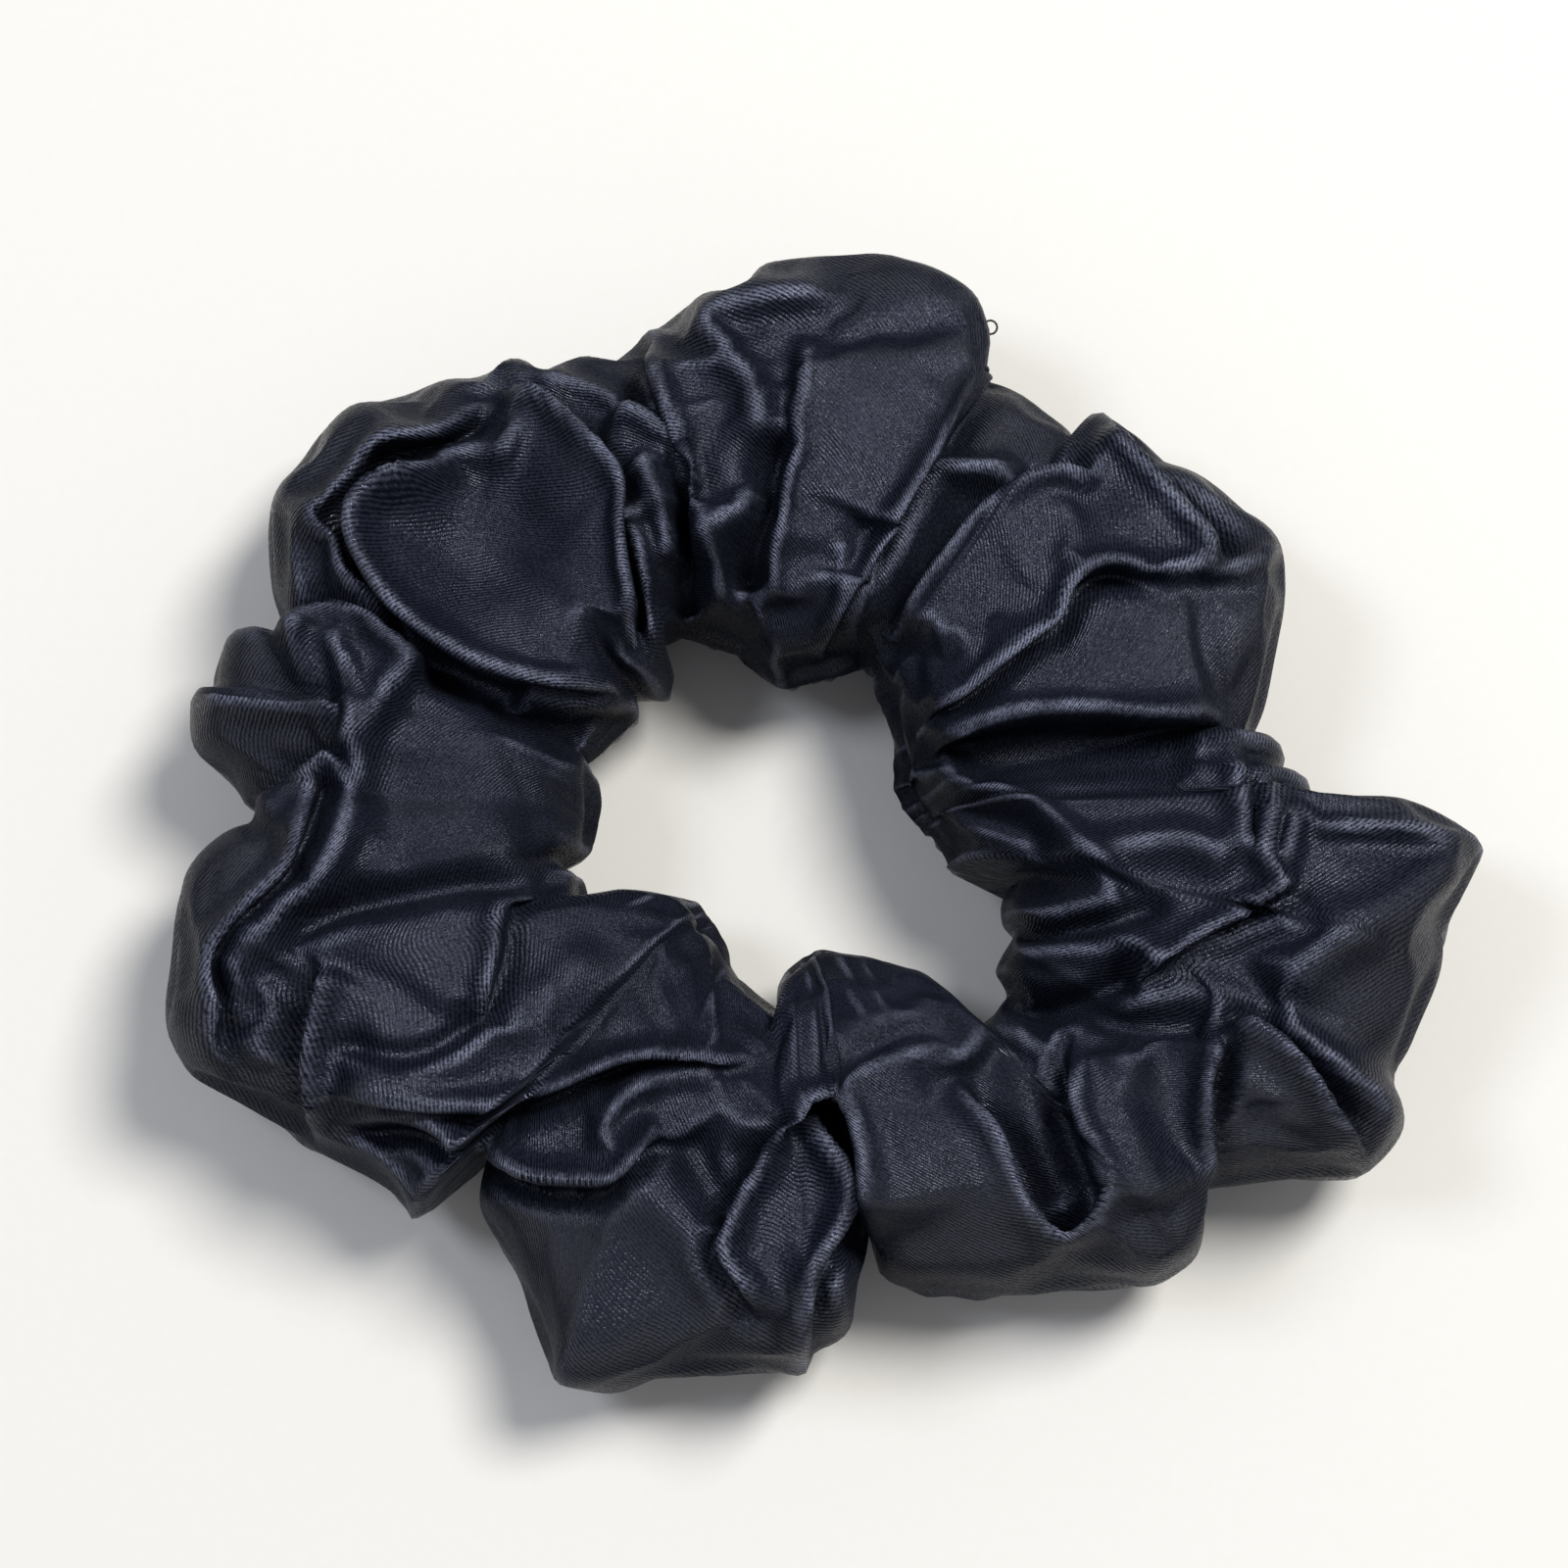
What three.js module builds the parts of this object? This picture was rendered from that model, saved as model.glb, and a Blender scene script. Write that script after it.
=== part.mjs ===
// A gathered satin hair scrunchie lying on a table, in millimetres, +Z up, +X along its longest side.
// A satin tube closed into a ring is gathered on a shorter loop of braided elastic. The origin is on
// the table, under the middle of the ring's bounding box. The ring is made as two halves that part
// along X, because stretching the loop between two hands is what the object does.
import * as THREE from "three";

// Where things lie.
const RING_X = -3.2; // centre of the hair hole, which isn't quite the middle of the outline
const RING_Y = -1;
const HALVES_GAP = 0.4; // between the faces where the two halves meet

// The satin tube, which holds its folds out into a puffed ring.
const STATIONS = 72; // sections round the whole ring
const SECTION_SIDES = 14; // points round one section
const WALL = 1.6; // the cloth with its gathers packed together
const VALLEY_HEIGHT = 25;
const PUFF_HEIGHT = 32;
const VALLEY_REACH = 42; // outer reach where the tube is VALLEY_HEIGHT high
const PUFF_REACH = 59; // outer reach where it is PUFF_HEIGHT high
const SQUARENESS = 0.8; // under 1 fills out the section's corners
const RESTING_SHARE = 0.1; // share of the height that the table flattens

// Reach from the ring's centre against the direction, anticlockwise from +X, in degrees: the crests
// and the dips between the puffs of the outer edge, then those of the edge round the hair hole.
const OUTER_EDGE = [
  [2, 46], [5.5, 46.5], [11, 43], [19, 46], [31, 51], [40, 48.5], [52, 46.5], [56, 44.5],
  [67, 45], [74, 51], [85, 52], [95, 50.5], [107, 46], [113, 46.5], [125, 50.5], [140, 55],
  [151, 52.5], [158, 49], [168, 53.5], [179, 47.5], [190, 55], [198, 56.5], [213, 49.5],
  [225, 42], [238, 45.5], [249, 53], [263, 48], [272, 47.5], [282, 38], [293, 45],
  [314, 51.5], [320, 49], [332, 59.5], [342, 57], [357, 61],
];
const HOLE_EDGE = [
  [20, 11.5], [41, 14], [60, 17], [73, 16.5], [89, 13.5], [112, 19.5], [123, 18], [131, 16.5],
  [160, 19.5], [176, 17.5], [191, 20], [202, 17], [219, 11.5], [266, 16.5], [285, 12.5],
  [309, 23.5], [334, 22.5], [355, 13.5],
];

// The elastic: a flat braided strip on edge, whose two ends lap and are sewn to each other.
const ELASTIC_RADIUS = 28; // of the relaxed loop, at the middle of the strip
const ELASTIC_WIDTH = 6;
const ELASTIC_THICKNESS = 1.2;
const ELASTIC_MIDDLE_Z = 13;
const ELASTIC_STEPS = 24; // straight stretches in each half
const LAP_FROM = 50; // directions between which the ends lap, in degrees
const LAP_TO = 76;
const LAP_STEPS = 4;
const LAP_SPACE = 0.3; // left for the sewing thread between the two layers
const LAP_RADIUS = ELASTIC_RADIUS + ELASTIC_THICKNESS + LAP_SPACE;

// The threads.
const THREAD_SIDES = 6;
const SEAM_POINTS = 16; // places that a thread's line is drawn through
const CLOSING_POINTS = 20;
const LOOSE_POINTS = 10;
const SEAM_STEPS = 40; // straight stretches along a thread
const CLOSING_STEPS = 36;
const LOOSE_STEPS = 16;
const ZIGZAG_STEPS = 48;
const ZIGZAG_THREAD = 0.4; // diameters
const SEAM_THREAD = 0.5;
const CLOSING_THREAD = 0.5;
const LOOSE_THREAD = 0.3;
const ZIGZAG_TURNS = 6;
const ZIGZAG_WIDTH = 4.4;
const ZIGZAG_MARGIN = 0.15; // share of the lap left clear at each end of the zigzag
const THREAD_CLEARANCE = 1.8; // from a thread's middle to the inside of the tube's wall
const SEAM_SIDE = 225; // where the long seam lies on a section: 0 outermost, 90 on top, 180 at the hole
const SEAM_END_MARGIN = 3; // degrees left clear at each end of a half's seam
const CLOSING_DIRECTION = 68; // where the tube's two ends are sewn together
const CLOSING_FROM = 245; // the slip stitches' part of the section
const CLOSING_TO = 430;
const LOOP_RADIUS = 0.8; // the loose bight of thread
const LOOP_HEIGHT = 19;
const LOOP_OFF_WALL = 1.4; // from the tube's outside to the middle of the bight
const LOOP_OPEN_TO = 150; // the bight runs from minus this angle to plus this angle

const radians = THREE.MathUtils.degToRad;

// The reach at a direction, easing from each listed point to the next.
function reach(edge, degrees) {
  const turn = (degrees % 360 + 360) % 360;
  const after = edge.findIndex(([at]) => at > turn);
  const next = after < 0 ? 0 : after;
  const last = (next + edge.length - 1) % edge.length;
  const span = (edge[next][0] - edge[last][0] + 360) % 360;
  const share = ((turn - edge[last][0] + 360) % 360) / span;
  return THREE.MathUtils.lerp(edge[last][1], edge[next][1], THREE.MathUtils.smoothstep(share, 0, 1));
}

// A point of the ring's section in the given direction: side is the angle round the section, and
// inset is how far inside the outer surface the point lies.
function onTube(direction, side, inset = 0) {
  const outer = reach(OUTER_EDGE, direction);
  const inner = reach(HOLE_EDGE, direction);
  const puff = THREE.MathUtils.clamp((outer - VALLEY_REACH) / (PUFF_REACH - VALLEY_REACH), 0, 1);
  const height = THREE.MathUtils.lerp(VALLEY_HEIGHT, PUFF_HEIGHT, puff);
  const halfWidth = (outer - inner) / 2 - inset;
  const halfHeight = height * (1 + RESTING_SHARE) / 2 - inset;
  const round = (value) => Math.sign(value) * Math.abs(value) ** SQUARENESS;
  const out = (outer + inner) / 2 + halfWidth * round(Math.cos(radians(side)));
  const up = height * (1 - RESTING_SHARE) / 2 + halfHeight * round(Math.sin(radians(side)));
  const turn = radians(direction);
  return new THREE.Vector3(
    RING_X + out * Math.cos(turn), RING_Y + out * Math.sin(turn), Math.max(up, inset));
}

// A closed skin over rows of points: every row is a ring of as many points, and the last row
// is joined to the first.
function skin(rows) {
  const around = rows[0].length;
  const index = [];
  rows.forEach((_, i) => {
    const here = i * around;
    const there = ((i + 1) % rows.length) * around;
    for (let j = 0; j < around; j++) {
      const k = (j + 1) % around;
      index.push(here + j, there + j, there + k, here + j, there + k, here + k);
    }
  });
  const geometry = new THREE.BufferGeometry().setFromPoints(rows.flat());
  geometry.setIndex(index);
  geometry.computeVertexNormals();
  return geometry;
}

// One half of the satin tube: out along its outer surface and back along its inner surface, so that
// the tube is open at both ends.
function halfTube(from, to, shift) {
  const count = Math.round((to - from) / 360 * STATIONS);
  const directions = Array.from({ length: count + 1 }, (_, i) => from + (to - from) * i / count);
  const section = (direction, inset) => Array.from({ length: SECTION_SIDES }, (_, j) =>
    onTube(direction, 360 * j / SECTION_SIDES, inset).add(new THREE.Vector3(shift, 0, 0)));
  const outside = directions.map((direction) => section(direction, 0));
  const inside = directions.map((direction) => section(direction, WALL)).reverse();
  return skin([...outside, ...inside]);
}

// A flat strip on edge along an arc of the loop.
function strip(radius, from, to, shift, steps) {
  const rows = Array.from({ length: steps + 1 }, (_, i) => {
    const turn = radians(from + (to - from) * i / steps);
    return [[-1, -1], [1, -1], [1, 1], [-1, 1]].map(([across, up]) => {
      const out = radius + across * ELASTIC_THICKNESS / 2;
      return new THREE.Vector3(
        RING_X + shift + out * Math.cos(turn), RING_Y + out * Math.sin(turn),
        ELASTIC_MIDDLE_Z + up * ELASTIC_WIDTH / 2);
    });
  });
  return capped(rows);
}

// A closed skin over rows of points, with a flat fan over the first and the last row.
function capped(rows) {
  const around = rows[0].length;
  const last = (rows.length - 1) * around;
  const index = [];
  for (let i = 0; i + 1 < rows.length; i++) {
    for (let j = 0; j < around; j++) {
      const k = (j + 1) % around;
      const [here, there] = [i * around, (i + 1) * around];
      index.push(here + j, there + j, there + k, here + j, there + k, here + k);
    }
  }
  for (let j = 1; j + 1 < around; j++) {
    index.push(0, j, j + 1, last, last + j + 1, last + j);
  }
  const geometry = new THREE.BufferGeometry().setFromPoints(rows.flat());
  geometry.setIndex(index);
  geometry.computeVertexNormals();
  return geometry;
}

// A thread of the given diameter along a smooth line through the points.
function thread(points, diameter, steps) {
  const corners = Array.from({ length: THREAD_SIDES }, (_, i) => {
    const turn = 2 * Math.PI * i / THREAD_SIDES;
    return new THREE.Vector2(diameter / 2 * Math.cos(turn), diameter / 2 * Math.sin(turn));
  });
  return new THREE.ExtrudeGeometry(new THREE.Shape(corners), {
    steps, extrudePath: new THREE.CatmullRomCurve3(points), bevelEnabled: false });
}

// The long seam's thread in one half, inside the tube along the seam's side of the section.
function seamThread(from, to, shift) {
  const points = Array.from({ length: SEAM_POINTS + 1 }, (_, i) => {
    const share = i / SEAM_POINTS;
    const direction = from + SEAM_END_MARGIN + (to - from - 2 * SEAM_END_MARGIN) * share;
    return onTube(direction, SEAM_SIDE, WALL + THREAD_CLEARANCE).add(new THREE.Vector3(shift, 0, 0));
  });
  return thread(points, SEAM_THREAD, SEAM_STEPS);
}

// The slip stitches that close the tube: a thread round most of one section, inside the wall.
function closingThread(shift) {
  const points = Array.from({ length: CLOSING_POINTS + 1 }, (_, i) => {
    const side = THREE.MathUtils.lerp(CLOSING_FROM, CLOSING_TO, i / CLOSING_POINTS);
    const place = onTube(CLOSING_DIRECTION, side, WALL + THREAD_CLEARANCE);
    return place.add(new THREE.Vector3(shift, 0, 0));
  });
  return thread(points, CLOSING_THREAD, CLOSING_STEPS);
}

// The zigzag that sews the elastic's lap, on its outer face.
function zigzagThread(shift) {
  const radius = LAP_RADIUS + ELASTIC_THICKNESS / 2 + LAP_SPACE + ZIGZAG_THREAD / 2;
  const points = Array.from({ length: 2 * ZIGZAG_TURNS + 1 }, (_, i) => {
    const share = THREE.MathUtils.lerp(ZIGZAG_MARGIN, 1 - ZIGZAG_MARGIN, i / (2 * ZIGZAG_TURNS));
    const turn = radians(THREE.MathUtils.lerp(LAP_FROM, LAP_TO, share));
    const up = (i % 2 ? 1 : -1) * ZIGZAG_WIDTH / 2;
    return new THREE.Vector3(
      RING_X + shift + radius * Math.cos(turn), RING_Y + radius * Math.sin(turn),
      ELASTIC_MIDDLE_Z + up);
  });
  return thread(points, ZIGZAG_THREAD, ZIGZAG_STEPS);
}

// The bight of loose thread that stands out of the closing seam.
function looseLoop(shift) {
  const turn = radians(CLOSING_DIRECTION);
  const out = reach(OUTER_EDGE, CLOSING_DIRECTION) + LOOP_OFF_WALL;
  const points = Array.from({ length: LOOSE_POINTS + 1 }, (_, i) => {
    const round = radians(THREE.MathUtils.lerp(-LOOP_OPEN_TO, LOOP_OPEN_TO, i / LOOSE_POINTS));
    return new THREE.Vector3(
      RING_X + shift + (out + LOOP_RADIUS * Math.cos(round)) * Math.cos(turn),
      RING_Y + (out + LOOP_RADIUS * Math.cos(round)) * Math.sin(turn),
      LOOP_HEIGHT + LOOP_RADIUS * Math.sin(round));
  });
  return thread(points, LOOSE_THREAD, LOOSE_STEPS);
}

const satin = new THREE.MeshStandardMaterial({ color: "#15161f", roughness: 0.35, metalness: 0 });
const elastic = new THREE.MeshStandardMaterial({ color: "#17171a", roughness: 0.9, metalness: 0 });
const sewing = new THREE.MeshStandardMaterial({ color: "#101116", roughness: 0.6, metalness: 0 });

const scrunchie = new THREE.Group();
function add(name, geometry, material) {
  const mesh = new THREE.Mesh(geometry, material);
  mesh.name = name;
  scrunchie.add(mesh);
}

// The left half stays and the right half is drawn away from it, each half a gap off the split.
const halves = [
  { side: "left", from: 90, to: 270, shift: -HALVES_GAP / 2 },
  { side: "right", from: -90, to: 90, shift: HALVES_GAP / 2 },
];
for (const { side, from, to, shift } of halves) {
  add("satin_cover_" + side, halfTube(from, to, shift), satin);
  add("elastic_band_" + side, strip(ELASTIC_RADIUS, from, to, shift, ELASTIC_STEPS), elastic);
  add("tube_seam_thread_" + side, seamThread(from, to, shift), sewing);
}
const right = halves[1].shift;
add("elastic_lap_end", strip(LAP_RADIUS, LAP_FROM, LAP_TO, right, LAP_STEPS), elastic);
add("lap_zigzag_thread", zigzagThread(right), sewing);
add("closing_seam_thread", closingThread(right), sewing);
add("loose_thread_loop", looseLoop(right), sewing);

export default scrunchie;
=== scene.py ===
"""A gathered satin hair scrunchie with its elastic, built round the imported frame. Lengths are in
metres in the frame's axes; the lists of places are in millimetres, to be read beside a ruler.
"""

import bpy
import numpy as np
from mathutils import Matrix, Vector


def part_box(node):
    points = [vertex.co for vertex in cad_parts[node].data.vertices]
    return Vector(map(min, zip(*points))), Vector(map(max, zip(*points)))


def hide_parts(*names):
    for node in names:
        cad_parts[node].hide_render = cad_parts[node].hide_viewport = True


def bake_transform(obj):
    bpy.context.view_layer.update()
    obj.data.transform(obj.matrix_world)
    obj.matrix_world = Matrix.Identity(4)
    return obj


bl_info = {
    "name": "Satin scrunchie",
    "version": (1, 0, 0),
    "blender": (4, 5, 0),
    "location": "3D View > Sidebar > Scrunchie",
    "description": "Builds a gathered satin scrunchie round its packed frame",
    "category": "Add Mesh",
}

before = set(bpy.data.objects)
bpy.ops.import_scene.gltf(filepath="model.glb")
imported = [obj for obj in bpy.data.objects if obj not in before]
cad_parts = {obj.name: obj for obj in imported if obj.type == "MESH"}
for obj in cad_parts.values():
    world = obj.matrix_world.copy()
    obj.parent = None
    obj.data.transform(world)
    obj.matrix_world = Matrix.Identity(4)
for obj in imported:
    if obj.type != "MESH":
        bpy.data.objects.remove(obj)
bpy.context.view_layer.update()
MM = 0.001


def box_of(*nodes):
    """Lowest and highest corner of some CAD nodes together."""
    corners = np.array([[tuple(corner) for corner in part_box(node)] for node in nodes])
    return corners[:, 0].min(axis=0), corners[:, 1].max(axis=0)


# The elastic loop gives the middle of the ring, and its own size.
LOOP_LOW, LOOP_HIGH = box_of("elastic_band_left", "elastic_band_right")
RING_CENTRE = (LOOP_LOW + LOOP_HIGH) / 2
LOOP_REACH = float(LOOP_HIGH[1] - LOOP_LOW[1]) / 2
STRIP_WIDTH = float(LOOP_HIGH[2] - LOOP_LOW[2])

# The lapped end lies outside the loop, between two directions. Its reach is to its middle.
LAP_FROM = np.radians(50)
LAP_TO = np.radians(76)
LAP_REACH = LOOP_REACH + 0.9 * MM

# The loose loop of thread: the height and place of its middle, its radius, and its thread's
# diameter.
LOOSE_HEIGHT = float(box_of("loose_thread_loop")[0][2])
LOOSE_PLACE = (0.0149, 0.0436)
LOOSE_RADIUS = 0.0006
LOOSE_THREAD = 0.00022

# The camera looks down from the near side, a little off the vertical.
CAMERA_TARGET = Vector((-0.0036, 0.0031, 0.012))
CAMERA_ELEVATION = np.radians(80)
CAMERA_DISTANCE = 0.42
CAMERA_PLACE = CAMERA_TARGET + CAMERA_DISTANCE * Vector(
    (0, -np.cos(CAMERA_ELEVATION), np.sin(CAMERA_ELEVATION)))
VIEW_WIDTH = 0.1402

# Where the cloth's edge lies seen from above, anticlockwise from the pointed puff at the right.
OUTER_EDGE = [
    (57.4, -3.3), (55, -1.5), (52, -0.2), (48, 0.3), (43.6, 0.2), (43.3, 2), (42.8, 3.4),
    (41.3, 3.9), (40.4, 3.4), (41, 5.2), (40.4, 6.6), (39, 7.3), (38.3, 7.4), (39.2, 11),
    (40.2, 16), (40.8, 21), (40, 25.2), (36.5, 28.5), (33.5, 31), (30.5, 32.8), (28, 34.8),
    (26, 35.8), (24.5, 36.2), (23.2, 34.8), (21.5, 36), (18, 38.5), (15, 39.8), (13.4, 40.2),
    (14.2, 41.5), (14, 43), (13.5, 44.8), (12.5, 46.5), (10.5, 48), (7.5, 49.2), (4, 50.3),
    (-1, 50.5), (-5, 50), (-8, 48.5), (-11, 47.2), (-14, 44.8), (-15.5, 44.2), (-17, 42.7),
    (-19, 42), (-22, 42), (-25, 40.9), (-27, 41.2), (-29, 41), (-31, 40), (-34.5, 39.2),
    (-37.5, 37.8), (-41, 37), (-42.7, 36.4), (-44.8, 34.5), (-46.5, 32), (-48.5, 29.5),
    (-49.4, 26), (-49.2, 21), (-48.8, 16.8), (-52, 16), (-53.2, 15.2), (-54, 12.5),
    (-54.2, 11.1), (-55.5, 11), (-56, 8.5), (-55.5, 6), (-53, 3.5), (-51.5, 1.2), (-50.6, -0.2),
    (-54, -3), (-56, -5.5), (-57, -9), (-57.2, -13), (-57.4, -17), (-56.8, -20), (-54.5, -23),
    (-50, -25.5), (-45, -28.5), (-40, -31.5), (-36.5, -34.2), (-35.4, -34.7), (-34.6, -34),
    (-32.8, -30.4), (-30.2, -30.8), (-29.8, -35), (-27.5, -39.5), (-25.3, -44), (-24, -47.5),
    (-22.9, -50.1), (-19, -50.4), (-15, -49.4), (-10, -48.7), (-5, -48.5), (-2.2, -48.4),
    (-1.3, -46.8), (0.5, -46), (1.8, -44.8), (2.5, -42.5), (3.4, -39), (4.1, -37.2),
    (5, -39.8), (6.5, -41.2), (9, -41.9), (15, -42.2), (20, -41.5), (25, -41.2), (28, -41.1),
    (30, -40.3), (32, -38.8), (33, -36.5), (33.6, -33.4), (37, -32.2), (41, -31.6),
    (46, -31.4), (48, -30.3), (49.8, -28), (50.2, -26), (49.6, -22.8), (51, -20), (53, -15),
    (54.5, -10.5), (56.2, -6.5),
]
HOLE_EDGE = [
    (8.3, 1), (7.3, 3), (7.2, 5), (6.3, 9), (5.2, 12), (3.8, 14.3), (1, 13.8), (-1.5, 13.2),
    (-3.4, 12.8), (-5, 13.7), (-6.5, 15.3), (-9, 16.4), (-12, 17.3), (-13.8, 16.2), (-14, 13),
    (-15, 11.2), (-17.2, 11.2), (-17.4, 9.5), (-19.5, 7.5), (-21.6, 5.4), (-20.8, 3),
    (-20.9, 0), (-21.5, -3), (-23.3, -4.8), (-22, -5.8), (-21.5, -7.5), (-20, -7.9),
    (-16, -7.5), (-13, -8), (-11.5, -9), (-10, -11), (-8.5, -14), (-6, -16.5), (-4.4, -17.6),
    (-3.8, -16), (-2.5, -14), (-0.5, -12.8), (2, -12.9), (5.5, -13.8), (8.5, -15.3),
    (10.5, -17), (11.8, -20.2), (16.3, -16.4), (15.7, -14), (17.1, -10.9), (16.3, -9.7),
    (16.3, -8), (17, -5.9), (14.5, -6.5), (13, -5.8), (12, -4), (10, -1),
]

# Folds of the cloth's upper side, in millimetres: (height, soft, sharp, points along the crest).
# The cloth stands high on the left of the line, easing back down over soft, and drops over sharp
# on the right, where it tucks under itself.
FOLDS = [
    # the top puff
    (3.0, 5.0, 1.4, [(-14.8, 44), (-15.1, 41.5), (-14.3, 38.5), (-12.8, 35), (-11.9, 31),
                     (-11.2, 27), (-10.8, 22)]),
    (1.2, 6.0, 2.0, [(-1.2, 45), (-1.6, 40), (-2.6, 34), (-3.8, 27), (-4.8, 22), (-5, 18)]),
    (4.2, 8.0, 1.3, [(-2.5, 10.5), (-1, 14.5), (0.2, 17.5), (2, 21), (4.6, 25), (6.6, 28.3),
                     (8.4, 31.2), (10.2, 34.3), (11.8, 37), (13.8, 40), (16, 43), (16.5, 46.5),
                     (13.5, 51), (8, 53), (1, 54)]),
    # the upper right puff
    (2.5, 5.0, 1.2, [(25, 31), (20, 30.5), (17, 29), (14, 26.5), (11.5, 23.5), (9.3, 20.5),
                     (7.8, 18), (6.3, 15.5)]),
    (3.2, 4.0, 1.2, [(8.6, 7.5), (9.7, 9.8), (12, 11.3), (15, 13.7), (18, 16.2), (20.3, 18),
                     (21.7, 20.5), (23.5, 22.2), (26, 22.9), (29, 22.3), (32, 22.3)]),
    (2.8, 4.0, 1.5, [(35.6, 23), (33.3, 26), (31.5, 28), (29.5, 30.5), (27, 33.2),
                     (24.8, 35.8)]),
    # the tongue of cloth at the right, its end flap and the two small tucks beside it
    (4.0, 3.5, 1.6, [(9.2, 5), (10.5, 6.8), (13, 8.2), (17, 9.2), (22, 9.6), (28, 9.3),
                     (33, 9.4), (36.5, 10)]),
    (1.6, 1.5, 1.4, [(40.5, 3.5), (39, 0.2), (38.5, -1.8), (37.8, -3), (36.9, -1.8), (37, 0.5),
                     (36.9, 3), (36.5, 6.5)]),
    (1.2, 1.0, 1.3, [(42.5, 2), (41.5, -1), (41, -3.5), (40.2, -6), (39.6, -4.2),
                     (39.8, -1.5), (40.6, 2)]),
    (2.6, 4.0, 1.3, [(26.5, -14.6), (30, -12.3), (35, -9.3), (40.3, -6.2), (42, -5)]),
    # the pointed puff's turned-up panel below
    (2.8, 5.0, 1.1, [(47.5, -30), (45, -27.5), (43.2, -24.5), (41, -21.8), (38.5, -19.9),
                     (36.5, -19.2), (34.5, -19.5)]),
    (2.2, 3.5, 1.3, [(33.6, -34), (33.4, -29), (33.5, -25), (34.2, -22), (35.6, -19.6)]),
    # the valley in the lower right puff, seen as a deep U
    (3.6, 4.0, 1.7, [(21.5, -19.5), (22.4, -23), (22.8, -27), (24.2, -31), (25, -33.5),
                     (23.5, -36.4), (21, -38), (19, -37.2), (17.2, -35), (15.8, -32),
                     (14.6, -29.3), (12.8, -26.8), (11, -23)]),
    # the rounded puff below the hole, over the leaf
    (4.6, 5.0, 1.2, [(-4.2, -31), (-3.6, -27.5), (-2.4, -25.3), (0, -24.6), (2, -25.3),
                     (3.2, -27), (3.8, -30), (4.2, -34), (4.3, -38)]),
    (2.2, 2.5, 1.1, [(-3.3, -26), (-5, -31), (-7, -34), (-8.3, -37), (-8.8, -38.8),
                     (-7.4, -41), (-5, -44.5)]),
    (3.0, 2.2, 1.1, [(-2.2, -49), (-2.2, -44), (-1.3, -41), (-0.2, -38.5), (1.2, -36),
                     (1.7, -33.5), (0.8, -31), (-0.8, -28.5), (-1.9, -25.6)]),
    # the lower left puff: two long lips, the edge of its left end and the square pocket
    (2.8, 4.0, 1.2, [(-44.4, -28), (-43, -26), (-41.5, -25), (-38, -25), (-33, -25.5),
                     (-28, -25.3), (-25, -24.5), (-21, -22.8), (-17, -21.5), (-12, -21.2),
                     (-9, -21.7), (-6.5, -20.5)]),
    (3.8, 4.5, 1.2, [(-43, -27.4), (-38, -26.8), (-34, -27.6), (-30, -29.5), (-27.5, -31),
                     (-25, -32), (-21, -32.3), (-19, -32), (-17, -30), (-14, -27)]),
    (2.6, 4.0, 1.1, [(-43.6, -13), (-44.7, -18), (-45.1, -22), (-44.9, -25), (-44, -29)]),
    (2.2, 5.0, 1.1, [(-31, -19), (-29.4, -13), (-28.9, -9.5), (-27.9, -7.2), (-24.5, -6)]),
    # the far left: the rim of the outer slope, the two tabs and the flap over them
    (2.2, 2.5, 1.1, [(-52, -23), (-54, -20), (-54, -17), (-54.6, -14), (-53.6, -11),
                     (-51.5, -8), (-48.8, -5), (-47, -1.5), (-44.8, 5)]),
    (2.6, 4.0, 1.1, [(-43.5, 5.6), (-46.5, 3.4), (-51, -0.4)]),
    (1.6, 3.0, 0.9, [(-43, 9.8), (-49, 10.1), (-52, 10.3), (-56, 10.6)]),
    (3.2, 4.0, 1.2, [(-35, 12.4), (-38.5, 15), (-40, 16), (-42, 17.2), (-44.5, 17.8),
                     (-46.5, 17.2), (-50, 16)]),
    # the upper left puff: its outer layer, the rim of the bowl, the lip below and the far edge
    (2.2, 3.0, 1.0, [(-37, 16), (-41.5, 20), (-43.3, 22), (-44.2, 24.8), (-45.5, 26.3),
                     (-45.2, 28.2), (-42.5, 31.5), (-40, 34.3), (-35, 35.6), (-30, 38)]),
    (3.8, 3.0, 1.3, [(-33, 33), (-37.5, 30.5), (-40.2, 29), (-41.4, 27), (-41.2, 24.8),
                     (-40, 22.3), (-38, 19.6), (-35, 16.9), (-31, 14.4), (-27, 12.9),
                     (-23, 12.1), (-19.8, 11.9), (-17.5, 13.4)]),
    (2.0, 1.6, 1.0, [(-29, 11), (-25, 10.2), (-22, 10), (-19.5, 9.9), (-17.4, 10),
                     (-16.8, 12)]),
    (3.2, 6.0, 1.1, [(-17, 15), (-18.2, 21), (-18.8, 26), (-19, 29.5), (-20.3, 31.8),
                     (-22.8, 34.6), (-25.3, 37), (-27.5, 38.2), (-30.5, 39)]),
    # between the upper left and the top puff
    (2.6, 4.0, 1.6, [(-11.6, 27), (-12.8, 31.8), (-14.5, 34.2), (-17, 36.2), (-20, 37.2)]),
]

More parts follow.
